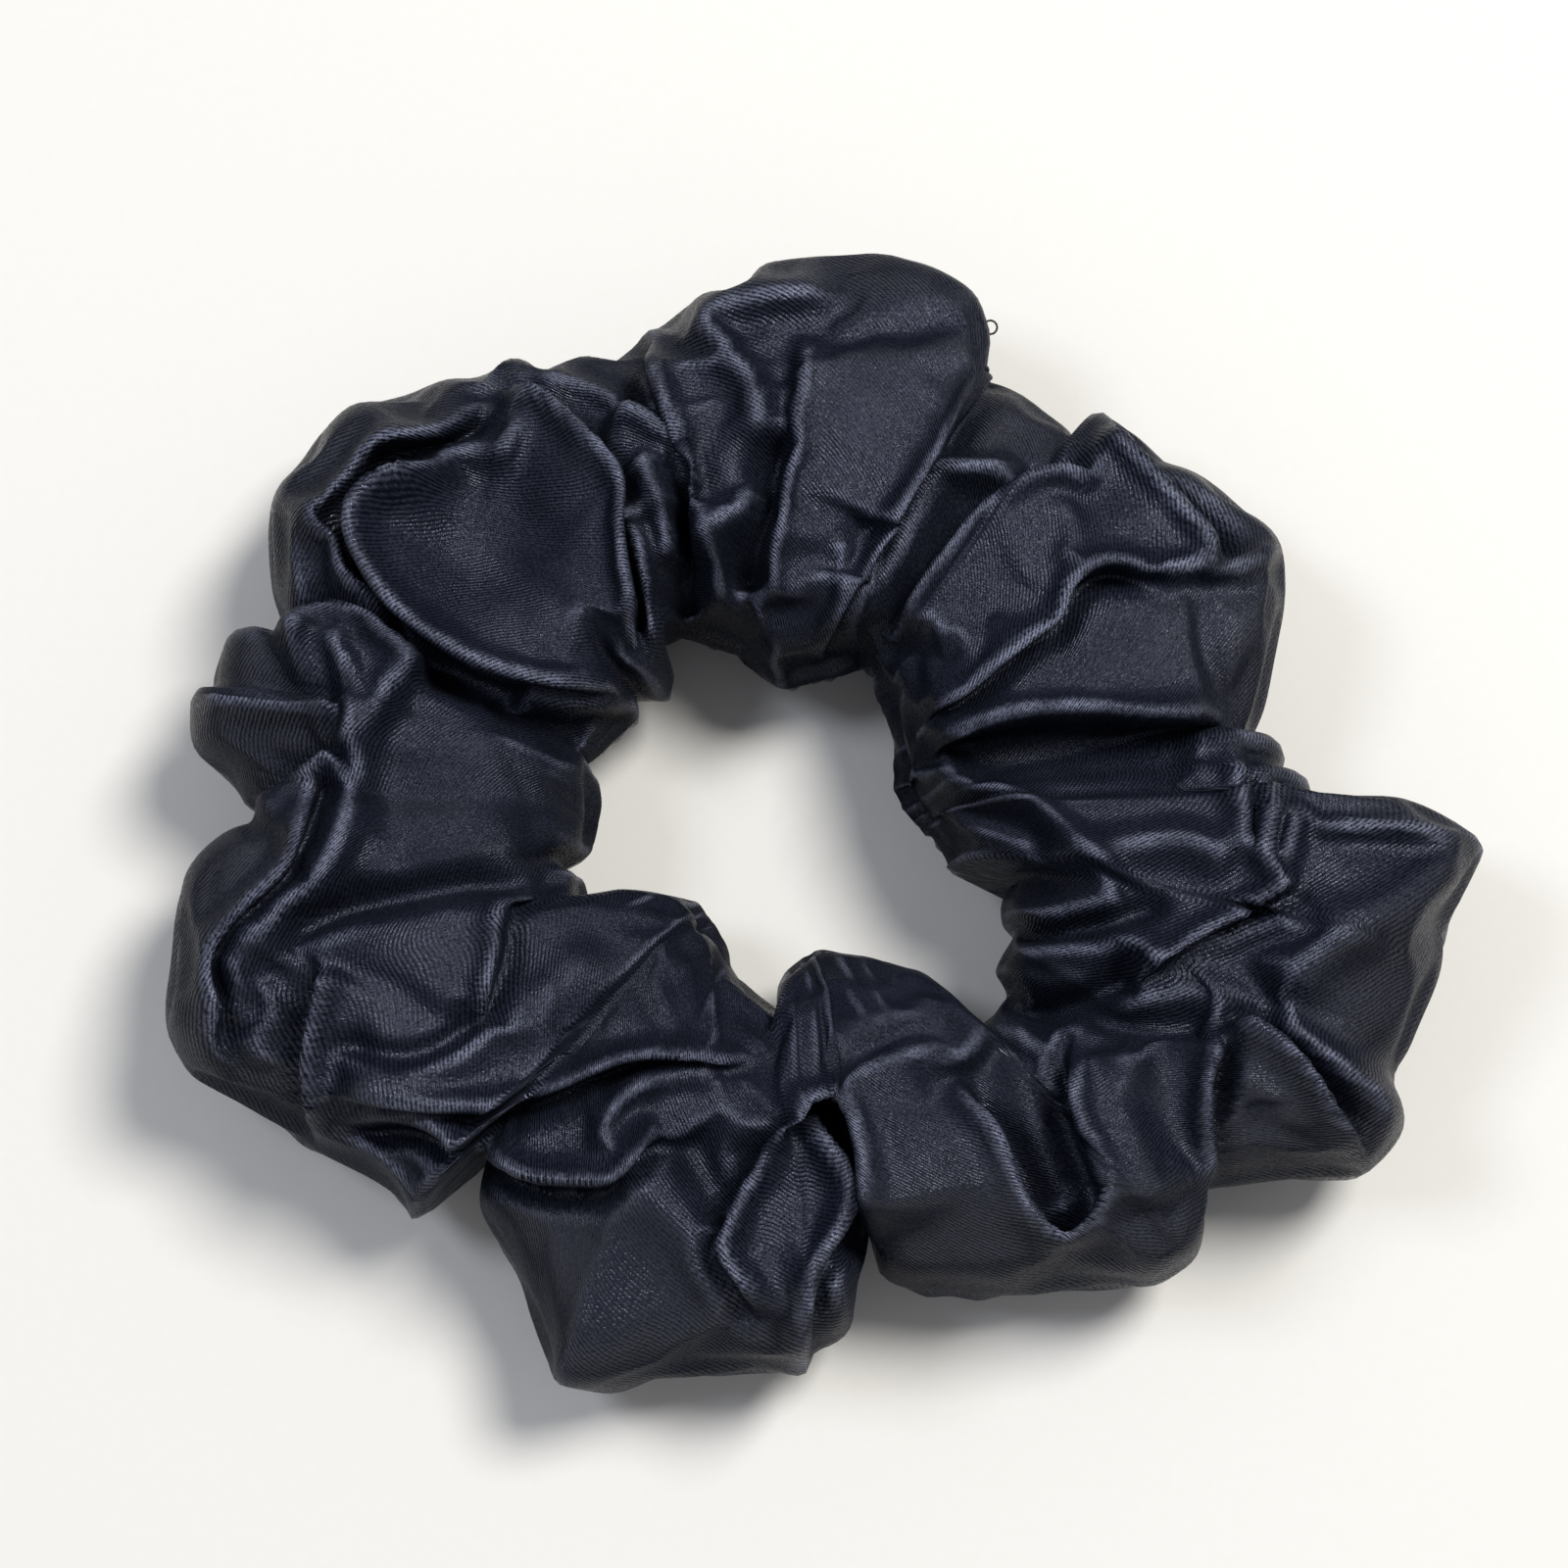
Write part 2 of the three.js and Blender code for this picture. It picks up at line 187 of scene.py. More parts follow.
# Rounded ridges, in millimetres: (height, half width, points along the crest). A negative height
# is a furrow.
RIDGES = [
    # the top puff
    (2.2, 1.7, [(2, 48.6), (-4, 48.2), (-8.8, 47), (-10.4, 45.3), (-8.8, 42.5), (-7, 39.5),
                (-6.2, 36.5), (-5.9, 31.5)]),
    (2.4, 1.4, [(-6.8, 31), (-7, 28), (-9, 26.3), (-9.9, 24.5), (-9.8, 21), (-9.4, 17.5)]),
    (-2.5, 1.8, [(-4.4, 36), (-4.8, 31), (-6.2, 26), (-7, 20)]),
    (0.9, 0.7, [(1.2, 25.5), (0.9, 22.5), (0.2, 19)]),
    (-2.0, 2.2, [(4.2, 27.5), (3, 24.5), (1.6, 21)]),
    # the upper right puff
    (3.0, 1.6, [(19, 31.8), (14, 31.5), (11, 31.2), (9.3, 29.6), (7.5, 26.6), (5.6, 23.2),
                (3.8, 20), (2, 17), (0, 14.8)]),
    (1.6, 1.2, [(29, 22), (34, 22.6), (37, 22.9), (39.2, 23.8), (40.5, 25.5)]),
    (-1.8, 1.5, [(26, 36), (28.5, 33.8), (31, 31), (34, 27.5), (37, 24.2)]),
    # the tongue
    (2.8, 1.4, [(9.2, 5.2), (9.8, 4.1), (11.5, 3), (14.5, 2.3), (17.5, 1.3), (20, -0.2),
                (22, -2.3), (24, -4.5), (27, -7)]),
    (-2.4, 2.2, [(11.5, 5.4), (16, 6), (24, 6), (34, 6)]),
    (2.2, 2.0, [(19, -3.8), (23, -3.2), (27, -2.7), (32, -2.4), (37, -4.5)]),
    (0.9, 1.0, [(10, 0.5), (14, -1.5), (19, -3.3)]),
    # the pinch beside the hole
    (1.8, 1.2, [(15.5, -8.6), (18.5, -9.2), (22, -8.4), (27, -7.2)]),
    (-2.2, 0.9, [(15.5, -10.8), (20, -10.3), (25, -9.3), (31, -7.4)]),
    (1.8, 1.3, [(15.5, -12.4), (20, -12.2), (25, -11.8), (30, -10.5)]),
    (-2.6, 1.3, [(15, -16.8), (20, -16.6), (24, -15.8), (28.5, -13.4)]),
    # the pointed puff
    (1.2, 0.9, [(43, -1.2), (47, -0.9), (51, -1), (54, -1.9), (56.6, -3.6)]),
    (2.8, 2.6, [(57, -3.4), (54, -5.8), (50, -8.8), (46, -11), (42.5, -13.5), (39, -16.5)]),
    (2.0, 1.3, [(39.5, -17), (41.5, -19), (44.5, -21.5), (47.5, -24), (49, -26), (48.6, -29)]),
    (1.3, 1.0, [(28, -14), (33, -12.2), (38, -10.2), (43, -8.2)]),
    (-2.6, 1.5, [(17, -18), (23, -17.4), (29, -18.4), (35, -18.6)]),
    # the lower right puff
    (-1.4, 3.4, [(12.5, -20.5), (16, -25), (18.5, -30), (20, -35)]),
    (2.2, 2.6, [(26.5, -20), (26.3, -25), (27, -30), (28.5, -36)]),
    (1.6, 3.2, [(5, -20), (7, -26), (9, -31), (11, -36)]),
    # the flat panel and the leaf
    (1.2, 2.6, [(-19, -31.5), (-14, -35), (-11, -38.5), (-7, -44)]),
    (-1.6, 1.8, [(-12.5, -28), (-10.5, -32), (-8.5, -36)]),
    (-2.4, 1.1, [(2.2, -28), (3, -32), (2.8, -36), (2, -40)]),
    (0.9, 0.6, [(0.7, -40.5), (1.5, -43.5), (1.2, -46)]),
    # the lower left puff
    (2.0, 2.6, [(-43, -22.2), (-36, -22.4), (-30, -19.8), (-25, -17), (-22, -14), (-19.5, -10.5)]),
    (-2.0, 1.3, [(-42.5, -19), (-40, -21), (-36, -21.2), (-32, -19), (-29.5, -15)]),
    (1.6, 1.1, [(-8.5, -23.6), (-12, -23), (-15, -23.5), (-18, -25.5), (-19.6, -28), (-20, -31)]),
    (-3.0, 1.5, [(-22, -5), (-27, -5.8), (-32, -6), (-38, -7), (-43, -8), (-46.5, -10),
                 (-47.5, -13)]),
    (1.2, 0.9, [(-44, -27.8), (-40, -29.6), (-37, -32.4), (-35.2, -35)]),
    # the big panel at the left, its bright ridge and the crumpled pocket below it
    (2.8, 1.9, [(-38, 15), (-38.8, 12.5), (-39.8, 10.3), (-41.3, 7), (-41.9, 3), (-42.2, 0),
                (-43.6, -3.5), (-45.6, -6.5), (-48.5, -9.5), (-51.2, -12), (-51, -16)]),
    (1.2, 0.8, [(-44.3, 17.4), (-43.5, 13), (-42.8, 9), (-43, 6)]),
    (1.1, 0.8, [(-43.2, 15), (-41.9, 11.5), (-42.4, 8), (-43, 5.5)]),
    (1.0, 0.9, [(-52.6, -12), (-51.9, -15), (-52.2, -18.5)]),
    (1.0, 0.9, [(-50, -14), (-49, -17), (-50, -20), (-49, -22.5)]),
    (-3.2, 1.6, [(-38, 15.8), (-33, 12.8), (-28, 10), (-24, 8), (-20.5, 6.4)]),
    # the upper left puff
    (1.2, 1.8, [(-40.4, 29), (-36, 32.6), (-31, 33.8), (-27, 33.4)]),
    (1.0, 1.1, [(-46.4, 30), (-47.2, 24), (-47.2, 17)]),
    (-1.8, 1.0, [(-30, 37.8), (-35, 34.6), (-40.5, 32.2), (-43.6, 28.4)]),
    (2.6, 0.9, [(-18.2, 29.5), (-16.8, 25), (-15.9, 21.5), (-15.2, 18), (-14.2, 14.5)]),
    (-2.4, 0.9, [(-18, 27), (-17.5, 22), (-16.6, 17)]),
    # between the upper left and the top puff
    (2.0, 1.2, [(-17.2, 33), (-15.8, 29.5), (-14.5, 26.5), (-13.6, 22.5)]),
    (1.4, 1.1, [(-26, 41), (-21.5, 39.8), (-18.5, 38.6), (-15, 38.2)]),
    (-3.0, 1.4, [(-12.6, 31), (-12, 26), (-12.2, 18)]),
]

# Broad swells of the cloth, in millimetres: (height, radius, x, y). A negative height is a hollow.
SWELLS = [
    (-4.5, 7, -30.5, 26), (1.6, 5, -22, 31), (1.4, 7, -31, 3), (1.8, 6, 2, 36),
    (1.5, 5, 19, 25.5), (1.4, 6, 28, 16), (-3.0, 8, -20, -42), (1.4, 5, -35, -13),
    (1.4, 6, -15, -12), (2.0, 6, 2, -19), (1.6, 5, 38, 17), (-2.5, 6, 18, 37),
    (-2.0, 5, -48, -16), (-2.2, 6, 41, -27), (-2.5, 5, -50, 7), (1.6, 6, 47, -9),
    (-2.0, 4, -20, 40),
]

# Places where the cloth is drawn tight and stays smooth, in millimetres: (radius, x, y).
TIGHT = [
    (11, -33, 1), (8, -28, 24), (9, 25, -3), (6, 22, 6), (9, -20, -42), (6, 4, 37), (7, 12, -36),
    (6, -22, -12), (6, 28, 17),
]

# The cloth's grid: stations round the ring, and rows round the tube, over the top and underneath.
STATIONS = 480
UPPER_ROWS = 82
LOWER_ROWS = 22
ROWS = UPPER_ROWS + LOWER_ROWS

# How squarely the section bulges: the power of its cosine above and below, and of its sine.
UPPER_WIDTH_POWER = 0.7
LOWER_WIDTH_POWER = 1.0
HEIGHT_POWER = 0.8

# The most that folds may lift the cloth, in millimetres, and the height that it rests at.
MOST_LIFT = 6.5
RESTING = 0.3 * MM

# Where the long seam runs round the section, and where round the ring the tube is closed.
SEAM_SIDE = np.radians(225)
CLOSING_DIRECTION = np.radians(68)
CLOSING_STITCH = 0.0026
CLOSING_SLANT = 0.0004


def reach(edge, directions):
    """How far an edge lies from the middle of the ring in each direction, along a smooth line
    through the edge's points."""
    points = spline(edge + edge[:1])[:-1] * MM - RING_CENTRE[:2]
    angle = np.unwrap(np.arctan2(points[:, 1], points[:, 0]))
    length = np.hypot(points[:, 0], points[:, 1])
    angle = np.maximum.accumulate(angle)
    turns = np.concatenate([angle - 2 * np.pi, angle, angle + 2 * np.pi])
    return np.interp(directions, turns, np.tile(length, 3))


def even_directions(count):
    """Directions that step evenly along the ring's outer edge, so that notches and points in it
    get as many stations as its smooth stretches."""
    fine = np.linspace(0, 2 * np.pi, 8001)
    r = reach(OUTER_EDGE, fine)
    steps = np.hypot(np.diff(r), r[:-1] * np.diff(fine))
    steps = np.minimum(steps, 3 * steps.mean()) + 0.35 * steps.mean()
    along = np.concatenate([[0], np.cumsum(steps)])
    return np.interp(np.arange(count) / count * along[-1], along, fine)


def spline(points, per_span=6):
    """A smooth line through the points: cubic spans whose slope at a point is half the step
    between its neighbours."""
    p = np.array(points, float)
    p = np.vstack([2 * p[0] - p[1], p, 2 * p[-1] - p[-2]])
    t = np.linspace(0, 1, per_span, endpoint=False)[None, :, None]
    a, b, c, d = (p[i:len(p) - 3 + i][:, None, :] for i in range(4))
    line = 0.5 * (2 * b + (c - a) * t + (2 * a - 5 * b + 4 * c - d) * t ** 2
                  + (3 * b - a - 3 * c + d) * t ** 3)
    return np.vstack([line.reshape(-1, p.shape[1]), p[-2]])


def along_line(places, line):
    """For each place: its signed distance from the line (positive on the left), how far along the
    line it lies from 0 to 1, and the direction across the line towards the left."""
    start = line[:-1]
    step = np.diff(line, axis=0)
    span = np.maximum((step ** 2).sum(axis=1), 1e-12)
    delta = places[:, None, :] - start[None]
    share = np.clip((delta * step[None]).sum(axis=2) / span, 0, 1)
    near = delta - share[..., None] * step[None]
    gap = (near ** 2).sum(axis=2)
    nearest = gap.argmin(axis=1)
    rows = np.arange(len(places))
    size = np.sqrt(span)
    run = np.concatenate([[0], np.cumsum(size)])
    at = (run[nearest] + share[rows, nearest] * size[nearest]) / run[-1]
    side = step[nearest, 0] * delta[rows, nearest, 1] - step[nearest, 1] * delta[rows, nearest, 0]
    left = np.stack([-step[nearest, 1], step[nearest, 0]], axis=1) / size[nearest, None]
    return np.sqrt(gap[rows, nearest]) * np.sign(side), at, left


def ease(value):
    """Rises smoothly from 0 at 0 to 1 at 1."""
    t = np.clip(value, 0, 1)
    return t * t * (3 - 2 * t)


def fade(at, ends=0.16):
    """1 along a line, easing to 0 at its two ends."""
    return ease(at / ends) * ease((1 - at) / ends)


def folded(places):
    """The lift and the sideways push of the cloth's upper side at places (x, y), all in mm.
    A fold's lift is its height times an eased step over sharp, dying away over soft on its high
    side, with a thin rolled rim along its crest; the crest leans over the drop and the foot of the
    drop tucks in beneath it. A ridge is a bell of its half width, and a swell is a round bell. Where
    many meet, their sum levels off at MOST_LIFT."""
    lift = np.zeros(len(places))
    push = np.zeros((len(places), 2))
    for height, soft, sharp, points in FOLDS:
        d, at, left = along_line(places, spline(points))
        strength = 1.35 * height * fade(at)
        step = ease((d + sharp) / sharp)
        dying = (0.62 * np.exp(-np.maximum(d - 1.0, 0) / soft)
                 + 0.38 * np.exp(-(np.maximum(d - 0.5, 0) / 0.9) ** 2))
        rim = 0.7 * fade(at) * np.exp(-((d - 0.3) / 0.6) ** 2)
        foot = np.exp(-((d + 1.1 * sharp) / (0.9 * sharp)) ** 2)
        lift += strength * (step * dying - 0.35 * foot) + rim
        lean = -0.22 * strength * step * np.exp(-np.maximum(d, 0) / (0.5 * soft))
        push += (lean + 0.12 * strength * foot)[:, None] * left
    for height, width, points in RIDGES:
        d, at, _ = along_line(places, spline(points))
        lift += 1.3 * height * fade(at) * np.exp(-(d / width) ** 2)
    for height, radius, x, y in SWELLS:
        lift += height * np.exp(-((places[:, 0] - x) ** 2 + (places[:, 1] - y) ** 2) / radius ** 2)
    return MOST_LIFT * np.tanh(lift / MOST_LIFT), push


def seen(x, y, z):
    """Where a place shows beside one at the height of the ring's edges, carried along the line of
    sight: the folds' places are written as the camera shows them."""
    share = (CAMERA_PLACE.z - CAMERA_TARGET.z) / (CAMERA_PLACE.z - z)
    return np.stack([CAMERA_PLACE.x + (x - CAMERA_PLACE.x) * share,
                     CAMERA_PLACE.y + (y - CAMERA_PLACE.y) * share], axis=2)


def evened(grid, passes):
    """A grid with each point moved halfway to the middle of its four neighbours, some times over,
    which takes out steps between neighbouring stations."""
    for _ in range(passes):
        around = (np.roll(grid, 1, 0) + np.roll(grid, -1, 0)
                  + np.roll(grid, 1, 1) + np.roll(grid, -1, 1)) / 4
        grid = (grid + around) / 2
    return grid


def rounded(value, power):
    """A cosine or sine raised to a power with its sign kept, which squares up an ellipse."""
    return np.sign(value) * np.abs(value) ** power


def section_sides():
    """Angles round the section that step evenly along its width over the top, and more coarsely
    down its sides and underneath."""
    sides = []
    half_width = 20
    for start, rows, power, rise in ((0, UPPER_ROWS, UPPER_WIDTH_POWER, 8),
                                     (np.pi, LOWER_ROWS, LOWER_WIDTH_POWER, 13)):
        fine = np.linspace(start, start + np.pi, 4001)
        steps = np.hypot(half_width * np.diff(rounded(np.cos(fine), power)),
                         rise * np.diff(rounded(np.sin(fine), HEIGHT_POWER)))
        along = np.concatenate([[0], np.cumsum(steps)])
        sides.append(np.interp(np.arange(rows) / rows * along[-1], along, fine))
    return np.concatenate(sides)


def cover_grid(valley_height, puff_height):
    """The satin's surface as a grid of stations by rows: a rounded section between the hole's edge
    and the outer edge at each direction, taller where the outer edge puffs out, with the folds of
    its upper side, and fine gathers and the long seam's furrow underneath."""
    direction = even_directions(STATIONS)[:, None]
    side = section_sides()[None, :]
    outer = reach(OUTER_EDGE, direction) - 0.4 * MM
    inner = reach(HOLE_EDGE, direction) + 0.2 * MM
    puff = np.clip((outer / MM - 40) / 17, 0, 1)
    height = valley_height + (puff_height - valley_height) * puff
    cosine = np.cos(side)
    sine = np.sin(side)
    squared = np.where(sine > 0, rounded(cosine, UPPER_WIDTH_POWER), cosine)
    out = (outer + inner) / 2 + (outer - inner) / 2 * squared
    up = height * (0.46 + 0.54 * rounded(sine, HEIGHT_POWER))
    x = RING_CENTRE[0] + out * np.cos(direction)
    y = RING_CENTRE[1] + out * np.sin(direction)
    on_top = ease((sine + 0.05) / 0.5)
    lift, push = folded(seen(x, y, up).reshape(-1, 2) / MM)
    lift = lift.reshape(x.shape) * on_top * MM
    push = push.reshape(x.shape + (2,)) * on_top[..., None] * MM
    # gathers under the widest line: inward waves round the ring, three sets over each other
    wave = (0.5 * np.sin(31 * direction + 1.7 * np.sin(3 * direction) + 1.2 * cosine)
            + 0.35 * np.sin(53 * direction + 2.3 * np.sin(5 * direction) - 1.5 * sine)
            + 0.25 * np.sin(17 * direction - 2.0 * cosine + 0.7))
    depth = 1.5 * ease(-sine / 0.4) * MM
    seam = 1.2 * MM * np.exp(-((side - SEAM_SIDE) / 0.09) ** 2)
    inward = (1.1 - wave) * depth + seam
    x = x + push[..., 0] - inward * cosine * np.cos(direction)
    y = y + push[..., 1] - inward * cosine * np.sin(direction)
    z = up + lift - inward * sine
    return evened(np.stack([x, y, np.maximum(z, RESTING)], axis=2), 1)


def crests(grid):
    """How sharply the cloth turns outwards at each point, from 0 where it is flat or hollow to 1
    where it bends over an edge: the change of the outward direction from neighbour to neighbour
    against the step between them, whichever way is the sharper, eased in between bends of about
    3 mm and 1 mm radius."""
    around = [np.roll(grid, -1, axis) - np.roll(grid, 1, axis) for axis in (0, 1)]
    outward = unit(np.cross(*around))
    sharpest = np.full(grid.shape[:2], -np.inf)
    for axis, step in enumerate(around):
        turned = np.roll(outward, -1, axis) - np.roll(outward, 1, axis)
        bend = (turned * step).sum(axis=2) / np.maximum((step ** 2).sum(axis=2), 1e-10)
        sharpest = np.maximum(sharpest, bend * MM)
    return ease((evened(np.clip(sharpest, -1, 1)[..., None], 1)[..., 0] - 0.34) / 0.56)


def over_elastic(grid):
    """The grid with its upper side lifted where it would sink onto the elastic: a smooth larger of
    its height and a low ridge along the loop."""
    out = np.hypot(grid[..., 0] - RING_CENTRE[0], grid[..., 1] - RING_CENTRE[1])
    ridge = (LOOP_HIGH[2] + 0.9 * MM) * ease((7 * MM - np.abs(out - LOOP_REACH)) / (4.5 * MM))
    upper = np.arange(grid.shape[1]) < UPPER_ROWS
    blend = 0.4 * MM   # how softly the two heights join
    raised = blend * np.logaddexp(grid[..., 2] / blend, ridge / blend)
    lifted = grid.copy()
    lifted[..., 2] = np.where(upper[None, :], raised, grid[..., 2])
    return lifted


def grid_faces(rows, columns):
    """Four-sided faces of a grid that closes on itself both ways."""
    i = np.arange(rows)[:, None]
    j = np.arange(columns)[None, :]
    a = i * columns + j
    b = ((i + 1) % rows) * columns + j
    c = ((i + 1) % rows) * columns + (j + 1) % columns
    d = i * columns + (j + 1) % columns
    return np.stack([a, b, c, d], axis=2).reshape(-1, 4)


def new_mesh(name, points, faces):
    """A piece from its points and faces, smooth-shaded."""
    mesh = bpy.data.meshes.new(name)
    mesh.from_pydata(points.reshape(-1, 3).tolist(), [], faces.tolist())
    mesh.polygons.foreach_set("use_smooth", np.ones(len(mesh.polygons), bool))
    piece = bpy.data.objects.new(name, mesh)
    bpy.context.collection.objects.link(piece)
    return piece


# Settings of the cloth when it is let go, which are for a cloth enlarged by SIM_SCALE, to about two
# metres across. It is shrunk back afterwards.
SIM_SCALE = 20.0
SPARE = 0.05
PIN = 0.05
BEND = 14.0
CRISP = 0.6
MOST_TIGHT = 0.85


def tightness(grid):
    """How tight the cloth is drawn at each point, from 0 to MOST_TIGHT: a flat-topped bell round
    each tight place, on the upper side only."""
    places = seen(grid[..., 0], grid[..., 1], grid[..., 2]) / MM
    tight = np.zeros(grid.shape[:2])
    for radius, x, y in TIGHT:
        gap = np.hypot(places[..., 0] - x, places[..., 1] - y) / radius
        tight = np.maximum(tight, MOST_TIGHT * np.exp(-gap ** 4))
    tight[:, UPPER_ROWS:] = 0
    return tight


def settle(grid, frames=20):
    """The cloth let go a little with Blender's Cloth: its spare length buckles it into soft creases
    while weak pins hold its folds. A share of what evening takes out of the folds is then given
    back, so that their crests stay crisp, and tight places go back to their drawn shape."""
    shape = grid.shape
    cloth = new_mesh("cloth_settling", grid * SIM_SCALE, grid_faces(shape[0], shape[1]))
    hold = cloth.vertex_groups.new(name="hold")
    hold.add(list(range(len(cloth.data.vertices))), 0.5, "REPLACE")
    cloth_modifier = cloth.modifiers.new("settle", "CLOTH")
    settings = cloth_modifier.settings
    settings.quality = 4
    settings.mass = 0.3
    settings.tension_stiffness = 40
    settings.compression_stiffness = 40
    settings.shear_stiffness = 15
    settings.bending_stiffness = BEND
    settings.tension_damping = 5
    settings.compression_damping = 5
    settings.shear_damping = 5
    settings.air_damping = 5
    settings.vertex_group_mass = "hold"
    settings.pin_stiffness = PIN
    settings.shrink_min = -SPARE
    settings.effector_weights.gravity = 0
    cloth_modifier.collision_settings.use_collision = False
    cloth_modifier.point_cache.frame_start = 1
    cloth_modifier.point_cache.frame_end = frames
    for number in range(1, frames + 1):
        bpy.context.scene.frame_set(number)
    result = cloth.evaluated_get(bpy.context.evaluated_depsgraph_get()).data
    points = np.empty(len(result.vertices) * 3)
    result.vertices.foreach_get("co", points)
    bpy.data.objects.remove(cloth)
    bpy.context.scene.frame_set(1)
    settled = points.reshape(shape) / SIM_SCALE
    settled += CRISP * (evened(grid, 1) - evened(grid, 12))
    settled += tightness(grid)[..., None] * (evened(grid, 4) - settled)
    settled[..., 2] = np.maximum(settled[..., 2], RESTING)
    return settled


def linear(hex_colour):
    """Linear red, green, blue and alpha of an sRGB hex colour."""
    parts = np.array([int(hex_colour[i:i + 2], 16) for i in (1, 3, 5)]) / 255
    low = parts / 12.92
    high = ((parts + 0.055) / 1.055) ** 2.4
    return tuple(float(value) for value in np.where(parts <= 0.04045, low, high)) + (1.0,)


def add_node(tree, kind, values=(), links=(), **settings):
    """Adds a node with its settings, its sockets' values and the sockets linked into it."""
    made = tree.nodes.new(kind)
    for name, value in settings.items():
        setattr(made, name, value)
    for socket, value in dict(values).items():
        made.inputs[socket].default_value = value
    for socket, source in dict(links).items():
        tree.links.new(source, made.inputs[socket])
    return made


def new_material(name):
    """An empty node material and its tree."""
    material = bpy.data.materials.new(name)
    material.use_nodes = True
    material.node_tree.nodes.clear()
    return material, material.node_tree


def satin_weave(colour):
    """Polyester satin, woven with long floats: the floats lie side by side, so it glosses in soft
    streaks across the threads and stays near black everywhere else."""
    material, tree = new_material("polyester_satin_weave")
    place = add_node(tree, "ShaderNodeUVMap", uv_map="flat_mm").outputs["UV"]
    turned = add_node(tree, "ShaderNodeMapping", {"Rotation": (0, 0, 0.7)}, {"Vector": place})
    # the lines of floats, 0.5 mm apart on the flat cloth
    lines = add_node(tree, "ShaderNodeTexWave", {"Scale": 0.62, "Distortion": 1.6, "Detail": 1.0,
                                                 "Detail Scale": 1.4},
                     {"Vector": turned.outputs["Vector"]}, wave_type="BANDS",
                     bands_direction="Y", wave_profile="SIN")
    # slubs: thread ends and thick places, 2 mm long and 0.4 mm wide
    drawn = add_node(tree, "ShaderNodeMapping", {"Scale": (0.45, 2.2, 1)},
                     {"Vector": turned.outputs["Vector"]})
    slubs = add_node(tree, "ShaderNodeTexNoise", {"Scale": 1.0, "Detail": 3.0, "Roughness": 0.6},
                     {"Vector": drawn.outputs["Vector"]})
    # glints of light on the floats, half a millimetre across
    glints = add_node(tree, "ShaderNodeTexNoise", {"Scale": 1.9, "Detail": 2.0,
                                                   "Roughness": 0.65}, {"Vector": place})
    # patches a centimetre across, where the painted sheen of the weave and the painted highlight
    # on the crests show more strongly
    painted_light_patches = add_node(tree, "ShaderNodeTexNoise", {"Scale": 0.12, "Detail": 2.0}, {"Vector": place})
    coarse = add_node(tree, "ShaderNodeMath", {1: 0.9}, {0: slubs.outputs["Fac"]},
                      operation="MULTIPLY")
    fine = add_node(tree, "ShaderNodeMath", {1: 3.0}, {0: glints.outputs["Fac"]},
                    operation="MULTIPLY")
    both = add_node(tree, "ShaderNodeMath", {}, {0: coarse.outputs[0], 1: fine.outputs[0]},
                    operation="ADD")
    height = add_node(tree, "ShaderNodeMath", {}, {0: both.outputs[0], 1: lines.outputs["Fac"]},
                      operation="ADD")
    bump = add_node(tree, "ShaderNodeBump", {"Strength": 0.8, "Distance": 0.00007},
                    {"Height": height.outputs[0]})
    gloss = add_node(tree, "ShaderNodeMapRange", {1: 0.35, 2: 0.65, 3: 0.18, 4: 0.4},
                     {0: glints.outputs["Fac"]})
    # seen at a slant the floats stand in each other's shadow, so satin has no bright outline
    slant = add_node(tree, "ShaderNodeLayerWeight", {"Blend": 0.5})
    shine = add_node(tree, "ShaderNodeMapRange", {1: 0.03, 2: 0.5, 3: 0.6, 4: 0.02},
                     {0: slant.outputs["Facing"]}, interpolation_type="SMOOTHSTEP")
    # the floats lie proud with gaps between them; painted sheen makes the floats and their glints
    # paler and leaves the gaps dark, more so in some patches than others
    painted_weave_sheen = add_node(tree, "ShaderNodeMapRange", {1: 1.9, 2: 3.1, 3: 0.0, 4: 1.0},
                      {0: height.outputs[0]})
    patchy_weave_sheen = add_node(tree, "ShaderNodeMath", {}, {0: painted_light_patches.outputs["Fac"],
                                                    1: painted_weave_sheen.outputs[0]},
                       operation="MULTIPLY")
    shade = add_node(tree, "ShaderNodeMix", {6: tuple(colour) + (1,), 7: linear("#353948")},
                     {0: patchy_weave_sheen.outputs[0]}, data_type="RGBA")
    # painted highlight along the crests: a pale colour mixed in where the cloth bends sharply,
    # patchy and broken up a grain at a time
    crest = add_node(tree, "ShaderNodeAttribute", attribute_name="crest")
    crest_highlight_strength = add_node(tree, "ShaderNodeMapRange", {1: 0.4, 2: 0.6, 3: 0.35, 4: 0.9},
                    {0: painted_light_patches.outputs["Fac"]})
    edge = add_node(tree, "ShaderNodeMath", {}, {0: crest.outputs["Fac"],
                                                 1: crest_highlight_strength.outputs[0]}, operation="MULTIPLY")
    grained_crest_highlight = add_node(tree, "ShaderNodeMath", {}, {0: edge.outputs[0],
                                                  1: painted_weave_sheen.outputs[0]}, operation="MULTIPLY")
    shade = add_node(tree, "ShaderNodeMix", {7: linear("#7f859c")},
                     {0: grained_crest_highlight.outputs[0], 6: shade.outputs[2]}, data_type="RGBA")
    across = add_node(tree, "ShaderNodeTangent", direction_type="UV_MAP", uv_map="flat_mm")
    surface = add_node(tree, "ShaderNodeBsdfPrincipled",
                       {"IOR": 1.45, "Specular IOR Level": 0.3, "Anisotropic": 0.5,
                        "Specular Tint": linear("#dfe4ff")},
                       {"Base Color": shade.outputs[2], "Roughness": gloss.outputs[0],
                        "Specular IOR Level": shine.outputs[0],
                        "Normal": bump.outputs["Normal"], "Tangent": across.outputs["Tangent"]})
    add_node(tree, "ShaderNodeOutputMaterial", {}, {"Surface": surface.outputs["BSDF"]})
    return material


